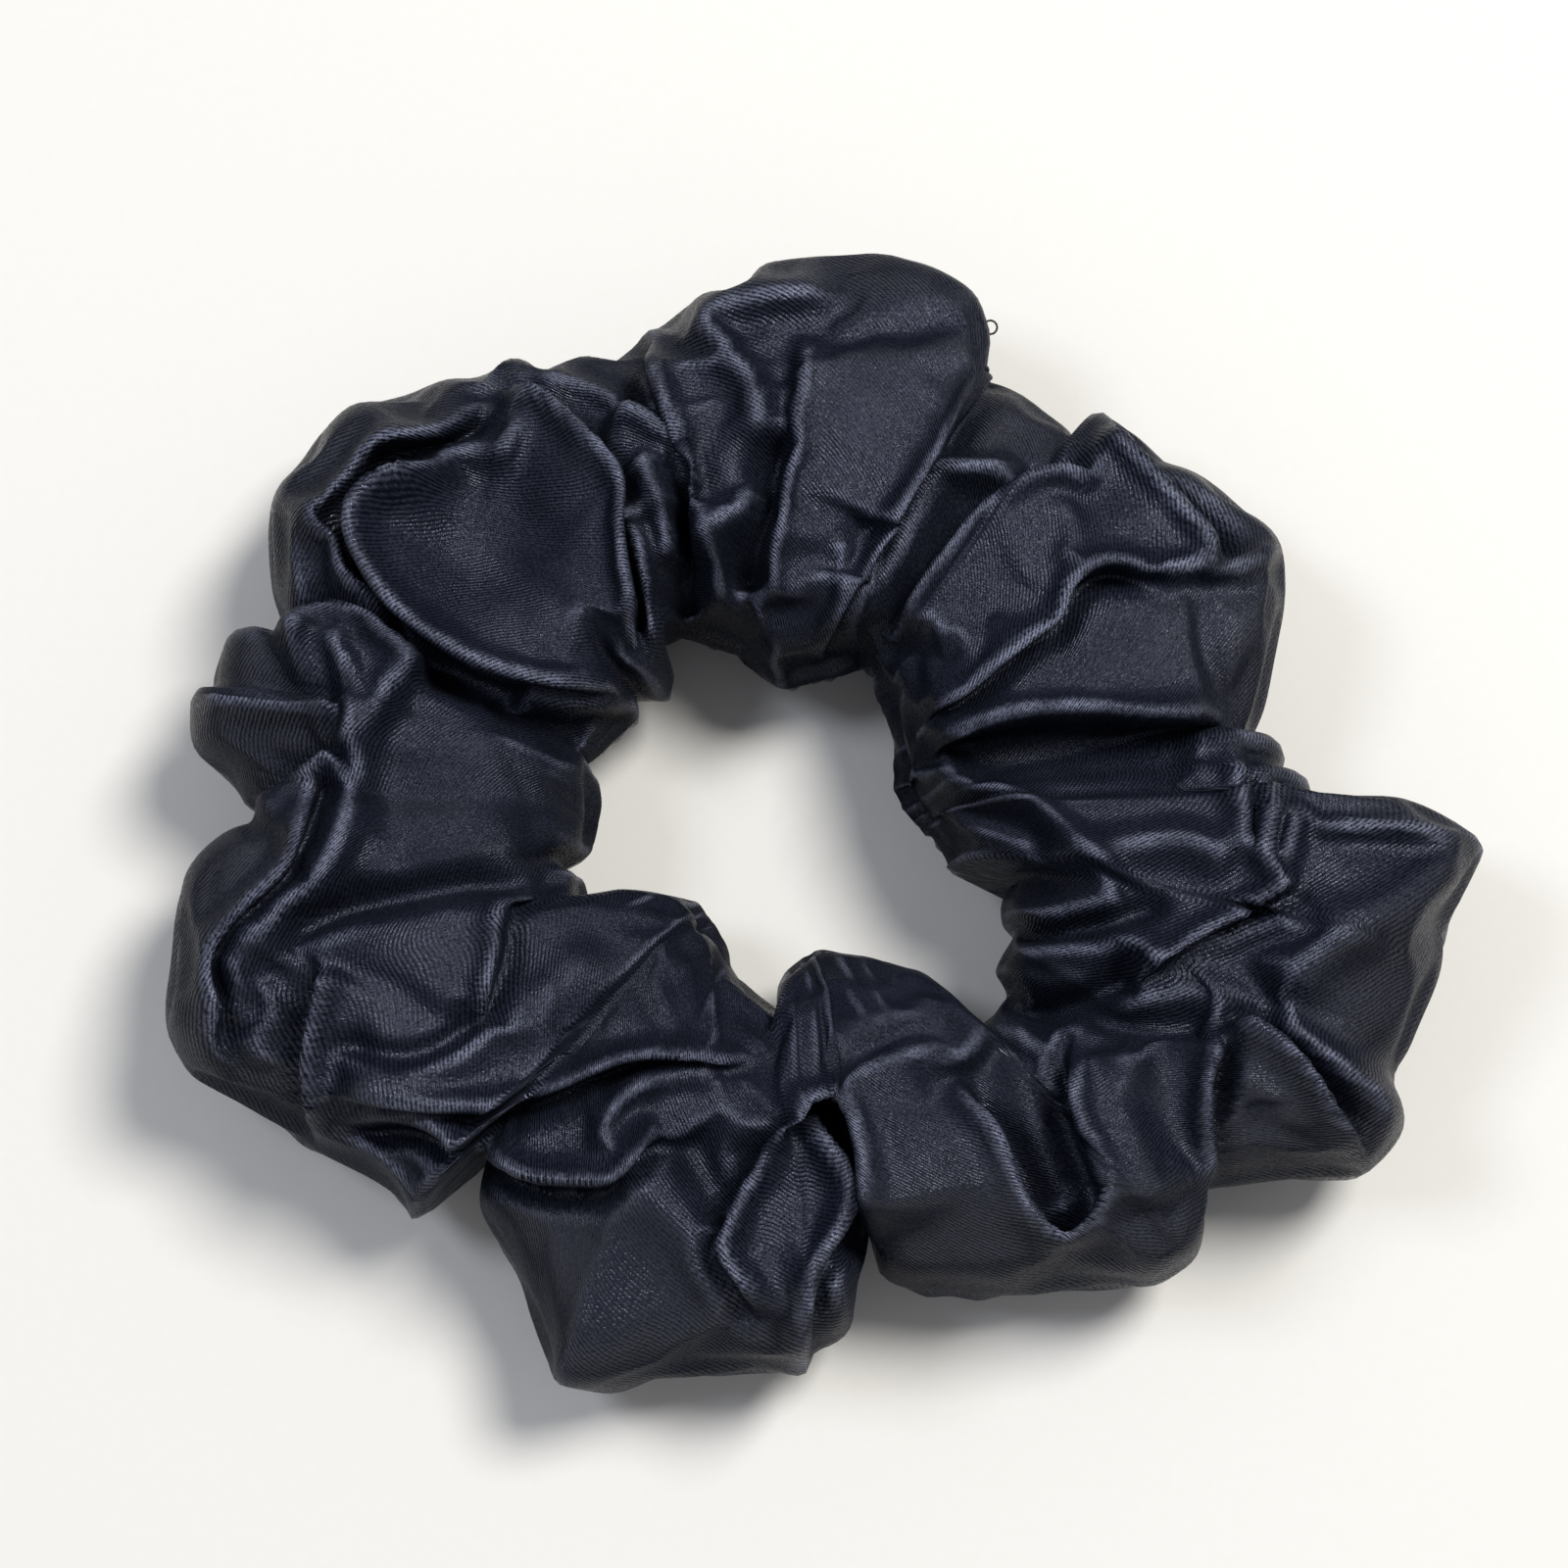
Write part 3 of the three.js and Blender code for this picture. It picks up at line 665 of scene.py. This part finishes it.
def braided_elastic(colour):
    """Polyester yarn braided over rubber strands: matt, with a rib over every strand and slanting
    yarns across the ribs."""
    material, tree = new_material("polyester_braid_over_rubber")
    place = add_node(tree, "ShaderNodeUVMap", uv_map="thread_mm").outputs["UV"]
    # yarns 0.6 mm apart, slanting one way and then the other from rib to rib
    leaned = add_node(tree, "ShaderNodeMapping", {"Rotation": (0, 0, 0.6)}, {"Vector": place})
    yarns = add_node(tree, "ShaderNodeTexWave", {"Scale": 0.5, "Distortion": 0.8, "Detail": 1.0},
                     {"Vector": leaned.outputs["Vector"]}, bands_direction="X",
                     wave_profile="SIN")
    fuzz = add_node(tree, "ShaderNodeTexNoise", {"Scale": 4.0, "Detail": 3.0}, {"Vector": place})
    height = add_node(tree, "ShaderNodeMath", {}, {0: yarns.outputs["Fac"],
                                                   1: fuzz.outputs["Fac"]}, operation="ADD")
    bump = add_node(tree, "ShaderNodeBump", {"Strength": 0.6, "Distance": 0.0001},
                    {"Height": height.outputs[0]})
    shade = add_node(tree, "ShaderNodeMix", {6: tuple(colour) + (1,), 7: linear("#2a2a2e")},
                     {0: fuzz.outputs["Fac"]}, data_type="RGBA")
    gloss = add_node(tree, "ShaderNodeMapRange", {3: 0.7, 4: 0.9}, {0: fuzz.outputs["Fac"]})
    surface = add_node(tree, "ShaderNodeBsdfPrincipled", {"IOR": 1.5, "Sheen Weight": 0.1},
                       {"Base Color": shade.outputs[2], "Roughness": gloss.outputs[0],
                        "Normal": bump.outputs["Normal"]})
    add_node(tree, "ShaderNodeOutputMaterial", {}, {"Surface": surface.outputs["BSDF"]})
    return material


def spun_polyester_thread(colour):
    """Spun polyester sewing thread, twisted from three plies: a slight lustre on every ply, broken
    by the dark lines between them, which are painted shade in the grooves."""
    material, tree = new_material("spun_polyester_thread")
    place = add_node(tree, "ShaderNodeUVMap", uv_map="thread_mm").outputs["UV"]
    # plies that cross the thread every 0.4 mm
    leaned = add_node(tree, "ShaderNodeMapping", {"Rotation": (0, 0, 0.8)}, {"Vector": place})
    plies = add_node(tree, "ShaderNodeTexWave", {"Scale": 0.8, "Distortion": 0.3},
                     {"Vector": leaned.outputs["Vector"]}, bands_direction="X",
                     wave_profile="SIN")
    bump = add_node(tree, "ShaderNodeBump", {"Strength": 0.5, "Distance": 0.00005},
                    {"Height": plies.outputs["Fac"]})
    # painted shade: the colour darkens into the grooves between the plies
    shade = add_node(tree, "ShaderNodeMix", {6: linear("#0c0d12"), 7: tuple(colour) + (1,)},
                     {0: plies.outputs["Fac"]}, data_type="RGBA")
    gloss = add_node(tree, "ShaderNodeMapRange", {3: 0.6, 4: 0.45}, {0: plies.outputs["Fac"]})
    surface = add_node(tree, "ShaderNodeBsdfPrincipled", {"IOR": 1.5, "Sheen Weight": 0.1},
                       {"Base Color": shade.outputs[2], "Roughness": gloss.outputs[0],
                        "Normal": bump.outputs["Normal"]})
    add_node(tree, "ShaderNodeOutputMaterial", {}, {"Surface": surface.outputs["BSDF"]})
    return material


def matt_white_board(colour):
    """Matt white board with the faint grain of its paper face, very slightly warm."""
    material, tree = new_material("matt_white_board")
    place = add_node(tree, "ShaderNodeTexCoord").outputs["Object"]
    # paper grain about a millimetre across
    grain = add_node(tree, "ShaderNodeTexNoise", {"Scale": 900.0, "Detail": 2.0},
                     {"Vector": place})
    shade = add_node(tree, "ShaderNodeMix", {6: tuple(colour) + (1,), 7: linear("#f1f0ed")},
                     {0: grain.outputs["Fac"]}, data_type="RGBA")
    surface = add_node(tree, "ShaderNodeBsdfPrincipled", {"Roughness": 0.9},
                       {"Base Color": shade.outputs[2]})
    add_node(tree, "ShaderNodeOutputMaterial", {}, {"Surface": surface.outputs["BSDF"]})
    return material


def flat_coordinates(piece, length, width):
    """Lays the cloth's flat size on it, in millimetres: along the tube one way and round it the
    other, so that threads keep their true spacing."""
    layer = piece.data.uv_layers.new(name="flat_mm")
    i = np.repeat(np.arange(STATIONS), ROWS)
    j = np.tile(np.arange(ROWS), STATIONS)
    corner_i = np.stack([i, i + 1, i + 1, i], axis=1)
    corner_j = np.stack([j, j, j + 1, j + 1], axis=1)
    uv = np.stack([corner_i / STATIONS * length / MM, corner_j / ROWS * width / MM], axis=2)
    layer.data.foreach_set("uv", uv.ravel())


def unit(vectors):
    """Vectors brought to length 1."""
    return vectors / np.maximum(np.linalg.norm(vectors, axis=-1, keepdims=True), 1e-12)


def carried(name, centres, facing, profile, ends=True):
    """A piece made of profiles carried along paths. centres holds paths by points by (x, y, z) and
    facing the direction that a profile's first axis points in; the second axis is square to it and
    to the path. profile holds (first, second) by corner, or by point and corner. The ends are
    capped, or else the last profile is joined to the first."""
    paths, count = centres.shape[:2]
    if ends:
        along = np.gradient(centres, axis=1)
    else:
        along = np.roll(centres, -1, 1) - np.roll(centres, 1, 1)
    along = unit(along)
    facing = unit(facing - (facing * along).sum(axis=2, keepdims=True) * along)
    second = np.cross(along, facing)
    shape = np.broadcast_to(profile, (paths, count) + profile.shape[-2:])
    corners = shape.shape[2]
    points = (centres[:, :, None] + shape[..., :1] * facing[:, :, None]
              + shape[..., 1:] * second[:, :, None])
    path = np.arange(paths)[:, None, None] * count
    row = np.arange(count - 1 if ends else count)[None, :, None]
    corner = np.arange(corners)[None, None, :]
    here = (path + row) * corners
    there = (path + (row + 1) % count) * corners
    next_corner = (corner + 1) % corners
    faces = np.stack([here + corner, here + next_corner, there + next_corner, there + corner],
                     axis=3).reshape(-1, 4).tolist()
    walls = len(faces)
    if ends:
        first = np.arange(paths)[:, None] * count * corners + np.arange(corners)[None, ::-1]
        last = (np.arange(paths)[:, None] + 1) * count * corners - corners + np.arange(corners)
        faces += first.tolist() + last.tolist()
    mesh = bpy.data.meshes.new(name)
    mesh.from_pydata(points.reshape(-1, 3).tolist(), [], faces)
    mesh.polygons.foreach_set("use_smooth", np.arange(len(faces)) < walls)
    # millimetres along the path and round the profile
    step = np.linalg.norm(np.diff(centres, axis=1), axis=2)
    run = np.concatenate([np.zeros((paths, 1)), np.cumsum(step, axis=1)], axis=1) / MM
    closing = np.linalg.norm(centres[:, :1] - centres[:, -1:], axis=2) / MM
    run = np.concatenate([run, run[:, -1:] + closing], axis=1)
    rim = shape[0, 0]
    round_it = np.concatenate([[0], np.cumsum(np.linalg.norm(
        np.roll(rim, -1, 0) - rim, axis=1))]) / MM
    u = np.stack(np.broadcast_arrays(run[path // count, row], run[path // count, row],
                                     run[path // count, row + 1], run[path // count, row + 1]),
                 axis=3)
    v = np.stack([round_it[corner], round_it[corner + 1], round_it[corner + 1],
                  round_it[corner]], axis=3)
    u, v = np.broadcast_arrays(u, v)
    uv = np.zeros((len(mesh.loops), 2))
    uv[:4 * walls] = np.stack([u, v], axis=4).reshape(-1, 2)
    mesh.uv_layers.new(name="thread_mm").data.foreach_set("uv", uv.ravel())
    piece = bpy.data.objects.new(name, mesh)
    bpy.context.collection.objects.link(piece)
    return piece


def round_profile(diameter, corners):
    """A circle of corners."""
    turn = np.arange(corners) / corners * 2 * np.pi
    return diameter / 2 * np.stack([np.cos(turn), np.sin(turn)], axis=1)


def twisted_profile(diameter, corners, turns):
    """A round thread of three plies at each of the points: a circle whose radius swells three
    times round it, turned on from point to point."""
    turn = np.arange(corners)[None, :] / corners * 2 * np.pi
    radius = diameter / 2 * (0.88 + 0.12 * np.cos(3 * (turn - turns[:, None])))
    return np.stack([radius * np.cos(turn), radius * np.sin(turn)], axis=2)


def strip_profile(thickness, width, ribs):
    """The elastic's section: a flat oval, squared up, with a rib over each rubber strand."""
    turn = np.arange(64) / 64 * 2 * np.pi
    across = thickness / 2 * rounded(np.cos(turn), 0.35)
    up = width / 2 * rounded(np.sin(turn), 0.75)
    groove = 0.08 * thickness * (1 - np.cos(2 * np.pi * ribs * up / width)) / 2
    return np.stack([across - np.sign(across) * groove, up], axis=1)


def follow(piece, slot, material, *nodes):
    """Gives a piece its finish, hides the CAD nodes that it stands for, and bakes in its placing."""
    piece.data.materials.append(material)
    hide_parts(*nodes)
    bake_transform(piece)


def round_ring(out, turns, height):
    """Places at a reach from the ring's centre, in directions and at a height."""
    out, turns, height = np.broadcast_arrays(out, turns, height)
    return np.stack([RING_CENTRE[0] + out * np.cos(turns), RING_CENTRE[1] + out * np.sin(turns),
                     height], axis=-1)


def cover_points():
    """The finished cover's points as stations by rows, and the cloth's outward direction."""
    mesh = bpy.data.objects["satin_cover"].data
    points = np.empty(len(mesh.vertices) * 3)
    mesh.vertices.foreach_get("co", points)
    grid = points.reshape(STATIONS, ROWS, 3)
    along = np.roll(grid, -1, 0) - np.roll(grid, 1, 0)
    round_it = np.roll(grid, -1, 1) - np.roll(grid, 1, 1)
    return grid, unit(np.cross(along, round_it))


def stitches(name, line, outward, length, diameter, slant):
    """Short arched stitches along a line on the cloth: each rises from the cloth in a flattened
    arch, leans across the line by slant, and goes back into the cloth."""
    run = np.concatenate([[0], np.cumsum(np.linalg.norm(np.diff(line, axis=0), axis=1))])
    count = int(run[-1] / length)
    share = np.linspace(-1, 1, 6)
    at = (np.arange(count)[:, None] + 0.5 + 0.42 * share[None, :]) * run[-1] / count

    def sample(values):
        return np.stack([np.interp(at, run, values[:, axis]) for axis in range(3)], axis=2)

    away = unit(sample(outward))
    aside = unit(np.cross(sample(np.gradient(line, axis=0)), away))
    arch = diameter * (0.75 * (1 - share ** 4) - 0.45)
    centres = sample(line) + arch[None, :, None] * away + slant * share[None, :, None] * aside
    return carried(name, centres, away, round_profile(diameter, 8))


def look_at(piece, target):
    """Points a lamp or the camera at a place, with +Y of the picture up."""
    direction = Vector(target) - piece.location
    piece.rotation_euler = direction.to_track_quat("-Z", "Y").to_euler()


def add_area_light(name, place, target, size, power, colour):
    """A round soft light."""
    data = bpy.data.lights.new(name, "AREA")
    data.shape = "DISK"
    data.size = size
    data.energy = power
    data.color = linear(colour)[:3]
    lamp = bpy.data.objects.new(name, data)
    bpy.context.collection.objects.link(lamp)
    lamp.location = place
    look_at(lamp, target)


class ScrunchieSizes(bpy.types.PropertyGroup):
    """Sizes that change how the scrunchie is made."""
    cloth_length: bpy.props.FloatProperty(
        name="Cloth length", description="Length of satin gathered round the ring",
        default=0.45, min=0.3, max=0.7, unit="LENGTH")
    cloth_width: bpy.props.FloatProperty(
        name="Cloth width", description="Width of the satin strip round the tube, without seams",
        default=0.09, min=0.06, max=0.12, unit="LENGTH")
    cloth_thickness: bpy.props.FloatProperty(
        name="Cloth thickness", description="Thickness of one layer of satin",
        default=0.00025, min=0.0001, max=0.0008, unit="LENGTH")
    valley_height: bpy.props.FloatProperty(
        name="Height between puffs", description="Height of the ring where its outline dips",
        default=0.023, min=0.02, max=0.026, unit="LENGTH")
    puff_height: bpy.props.FloatProperty(
        name="Height of the puffs", description="Height of the ring where its outline bulges",
        default=0.028, min=0.023, max=0.032, unit="LENGTH")
    elastic_thickness: bpy.props.FloatProperty(
        name="Elastic thickness", description="Thickness of the braided elastic",
        default=0.0012, min=0.0008, max=0.002, unit="LENGTH")
    elastic_ribs: bpy.props.IntProperty(
        name="Elastic ribs", description="Rubber strands side by side in the elastic",
        default=8, min=4, max=12)
    thread: bpy.props.FloatProperty(
        name="Thread", description="Diameter of the sewing thread",
        default=0.00035, min=0.0002, max=0.0006, unit="LENGTH")
    seam_stitch: bpy.props.FloatProperty(
        name="Seam stitch", description="Length of a stitch of the tube's long seam",
        default=0.0025, min=0.0015, max=0.004, unit="LENGTH")


class ScrunchieColours(bpy.types.PropertyGroup):
    """Colours of the scrunchie and the board it lies on."""
    satin: bpy.props.FloatVectorProperty(
        name="Satin", description="Colour of the satin's shade", subtype="COLOR", size=3,
        default=linear("#11141e")[:3], min=0, max=1)
    elastic: bpy.props.FloatVectorProperty(
        name="Elastic", description="Colour of the braid", subtype="COLOR", size=3,
        default=linear("#1d1d20")[:3], min=0, max=1)
    thread: bpy.props.FloatVectorProperty(
        name="Thread", description="Colour of the sewing thread", subtype="COLOR", size=3,
        default=linear("#1c1d26")[:3], min=0, max=1)
    board: bpy.props.FloatVectorProperty(
        name="Board", description="Colour of the board underneath", subtype="COLOR", size=3,
        default=linear("#eeede9")[:3], min=0, max=1)


class SCRUNCHIE_OT_camera(bpy.types.Operator):
    """Sets up the camera over the scrunchie"""
    bl_idname = "scrunchie.camera"
    bl_label = "Camera"

    def execute(self, context):
        data = bpy.data.cameras.new("camera")
        camera = bpy.data.objects.new("camera", data)
        context.collection.objects.link(camera)
        camera.location = CAMERA_PLACE
        look_at(camera, CAMERA_TARGET)
        data.sensor_width = 36
        data.lens = data.sensor_width * CAMERA_DISTANCE / VIEW_WIDTH
        context.scene.camera = camera
        return {"FINISHED"}


class SCRUNCHIE_OT_satin_cover(bpy.types.Operator):
    """Makes the gathered satin tube"""
    bl_idname = "scrunchie.satin_cover"
    bl_label = "Satin cover"

    def execute(self, context):
        sizes = context.scene.scrunchie_sizes
        grid = cover_grid(sizes.valley_height, sizes.puff_height)
        grid = settle(grid)
        grid = over_elastic(grid)
        cover = new_mesh("satin_cover", grid, grid_faces(STATIONS, ROWS))
        flat_coordinates(cover, sizes.cloth_length, sizes.cloth_width)
        # how sharply the cloth bends at each point, which the satin's painted crest highlight
        # follows
        crest = cover.data.attributes.new("crest", "FLOAT", "POINT")
        crest.data.foreach_set("value", crests(grid).ravel())
        wall = cover.modifiers.new("cloth_thickness", "SOLIDIFY")
        wall.thickness = sizes.cloth_thickness
        wall.offset = -1
        follow(cover, "satin", satin_weave(context.scene.scrunchie_colours.satin),
               "satin_cover_left", "satin_cover_right")
        return {"FINISHED"}


class SCRUNCHIE_OT_elastic(bpy.types.Operator):
    """Makes the loop of braided elastic with its lapped end"""
    bl_idname = "scrunchie.elastic"
    bl_label = "Elastic"

    def execute(self, context):
        sizes = context.scene.scrunchie_sizes
        finish = braided_elastic(context.scene.scrunchie_colours.elastic)
        profile = strip_profile(sizes.elastic_thickness, STRIP_WIDTH, sizes.elastic_ribs)
        middle = float(RING_CENTRE[2])
        radius = LOOP_REACH - sizes.elastic_thickness / 2
        turns = np.linspace(0, 2 * np.pi, 240, endpoint=False)
        outward = round_ring(1, turns, middle) - round_ring(0, turns, middle)
        band = carried("elastic_band", round_ring(radius, turns, middle)[None], outward[None],
                       profile, ends=False)
        follow(band, "elastic", finish, "elastic_band_left", "elastic_band_right")
        turns = np.linspace(LAP_FROM, LAP_TO, 40)
        outward = round_ring(1, turns, middle) - round_ring(0, turns, middle)
        lap = carried("elastic_lap", round_ring(LAP_REACH, turns, middle)[None], outward[None],
                      profile)
        follow(lap, "elastic", finish, "elastic_lap_end")
        return {"FINISHED"}


class SCRUNCHIE_OT_threads(bpy.types.Operator):
    """Sews the lap, the long seam and the closing seam, and leaves one loose loop of thread"""
    bl_idname = "scrunchie.threads"
    bl_label = "Sewing threads"

    def execute(self, context):
        sizes = context.scene.scrunchie_sizes
        finish = spun_polyester_thread(context.scene.scrunchie_colours.thread)
        grid, outward = cover_points()

        # zigzag over the lap: a triangle wave with rounded corners on the lap's outer face
        zigzags = 6
        share = np.linspace(0, 1, 241)
        turns = LAP_FROM + (LAP_TO - LAP_FROM) * (0.15 + 0.7 * share)
        wave = np.arcsin(0.985 * np.sin(2 * np.pi * zigzags * share)) / 1.4
        reach_out = LAP_REACH + sizes.elastic_thickness / 2 + sizes.thread / 2
        zigzag = round_ring(reach_out, turns, RING_CENTRE[2] + 0.36 * STRIP_WIDTH * wave)
        away = round_ring(1, turns, 0) - round_ring(0, turns, 0)
        twist = twisted_profile(sizes.thread, 9, share * 120)
        lap_zigzag = carried("lap_zigzag_stitches", zigzag[None], away[None], twist)
        follow(lap_zigzag, "sewing_thread", finish, "lap_zigzag_thread")

        # the long seam, in its furrow under the tube
        row = int(np.argmin(np.abs(section_sides() - SEAM_SIDE)))
        line = np.vstack([grid[:, row], grid[:1, row]])
        away = np.vstack([outward[:, row], outward[:1, row]])
        seam = stitches("tube_seam_stitches", line, away, sizes.seam_stitch, sizes.thread, 0)
        follow(seam, "sewing_thread", finish, "tube_seam_thread_left", "tube_seam_thread_right")

        # the slip stitches that close the tube, up the outer side of a section
        station = int(np.argmin(np.abs(even_directions(STATIONS) - CLOSING_DIRECTION)))
        rows = np.arange(-LOWER_ROWS // 3, UPPER_ROWS // 8)
        closing = stitches("closing_slip_stitches", grid[station, rows], outward[station, rows],
                           CLOSING_STITCH, sizes.thread, CLOSING_SLANT)
        follow(closing, "sewing_thread", finish, "closing_seam_thread")

        # the loose loop: a ring of thread that stands out of the edge, its two ends in the cloth
        place = np.array([*LOOSE_PLACE, LOOSE_HEIGHT])
        turns = np.linspace(np.radians(150), np.radians(-150), 37)
        ring = LOOSE_RADIUS * np.stack([np.cos(turns), np.sin(turns), 0.17 * np.sin(turns)], axis=1)
        tail = np.linspace(1, 0, 8, endpoint=False)[:, None] * np.array([[-0.0016, 0.0002, 0]])
        path = place + np.vstack([ring[0] + tail, ring, (ring[-1] + tail * (1, -1, 1))[::-1]])
        facing = np.broadcast_to([0.0, 0.0, 1.0], path.shape)
        twist = twisted_profile(LOOSE_THREAD, 9, np.linspace(0, 30, len(path)))
        loose = carried("loose_thread_loop_worn", path[None], facing[None], twist)
        follow(loose, "sewing_thread", finish, "loose_thread_loop")

        return {"FINISHED"}


class SCRUNCHIE_OT_stage(bpy.types.Operator):
    """Lays the pale board and sets the lights"""
    bl_idname = "scrunchie.stage"
    bl_label = "Board and lights"

    def execute(self, context):
        board = new_mesh("board", np.array([(-3, -3, 0), (3, -3, 0), (3, 3, 0), (-3, 3, 0)]),
                         np.array([(0, 1, 2, 3)]))
        board.data.materials.append(matt_white_board(context.scene.scrunchie_colours.board))
        add_area_light("key", (0.34, 0.24, 0.88), (0, 0, 0), 0.3, 7.8, "#fffcf6")
        add_area_light("fill", (-0.52, 0.14, 1.0), (0, 0, 0), 0.3, 2.8, "#eef3ff")
        world = bpy.data.worlds.new("soft_white")
        world.use_nodes = True
        sky = world.node_tree.nodes["Background"]
        sky.inputs["Color"].default_value = linear("#f4f5fa")
        sky.inputs["Strength"].default_value = 0.28
        context.scene.world = world
        context.scene.view_settings.view_transform = "Standard"
        return {"FINISHED"}


class SCRUNCHIE_PT_panel(bpy.types.Panel):
    """The steps of the scrunchie's making, with its sizes and colours"""
    bl_idname = "SCRUNCHIE_PT_panel"
    bl_label = "Satin scrunchie"
    bl_space_type = "VIEW_3D"
    bl_region_type = "UI"
    bl_category = "Scrunchie"

    def draw(self, context):
        layout = self.layout
        for group in (context.scene.scrunchie_sizes, context.scene.scrunchie_colours):
            for name in group.__annotations__:
                layout.prop(group, name)
        for operator in OPERATORS:
            layout.operator(operator.bl_idname)


OPERATORS = (SCRUNCHIE_OT_camera, SCRUNCHIE_OT_satin_cover, SCRUNCHIE_OT_elastic,
             SCRUNCHIE_OT_threads, SCRUNCHIE_OT_stage)
CLASSES = (ScrunchieSizes, ScrunchieColours, *OPERATORS, SCRUNCHIE_PT_panel)


def register():
    for made in CLASSES:
        bpy.utils.register_class(made)
    bpy.types.Scene.scrunchie_sizes = bpy.props.PointerProperty(type=ScrunchieSizes)
    bpy.types.Scene.scrunchie_colours = bpy.props.PointerProperty(type=ScrunchieColours)


def unregister():
    del bpy.types.Scene.scrunchie_colours
    del bpy.types.Scene.scrunchie_sizes
    for made in reversed(CLASSES):
        bpy.utils.unregister_class(made)


def main():
    register()
    bpy.ops.scrunchie.camera()
    bpy.ops.scrunchie.satin_cover()
    bpy.ops.scrunchie.elastic()
    bpy.ops.scrunchie.threads()
    bpy.ops.scrunchie.stage()


if __name__ == "__main__":
    main()
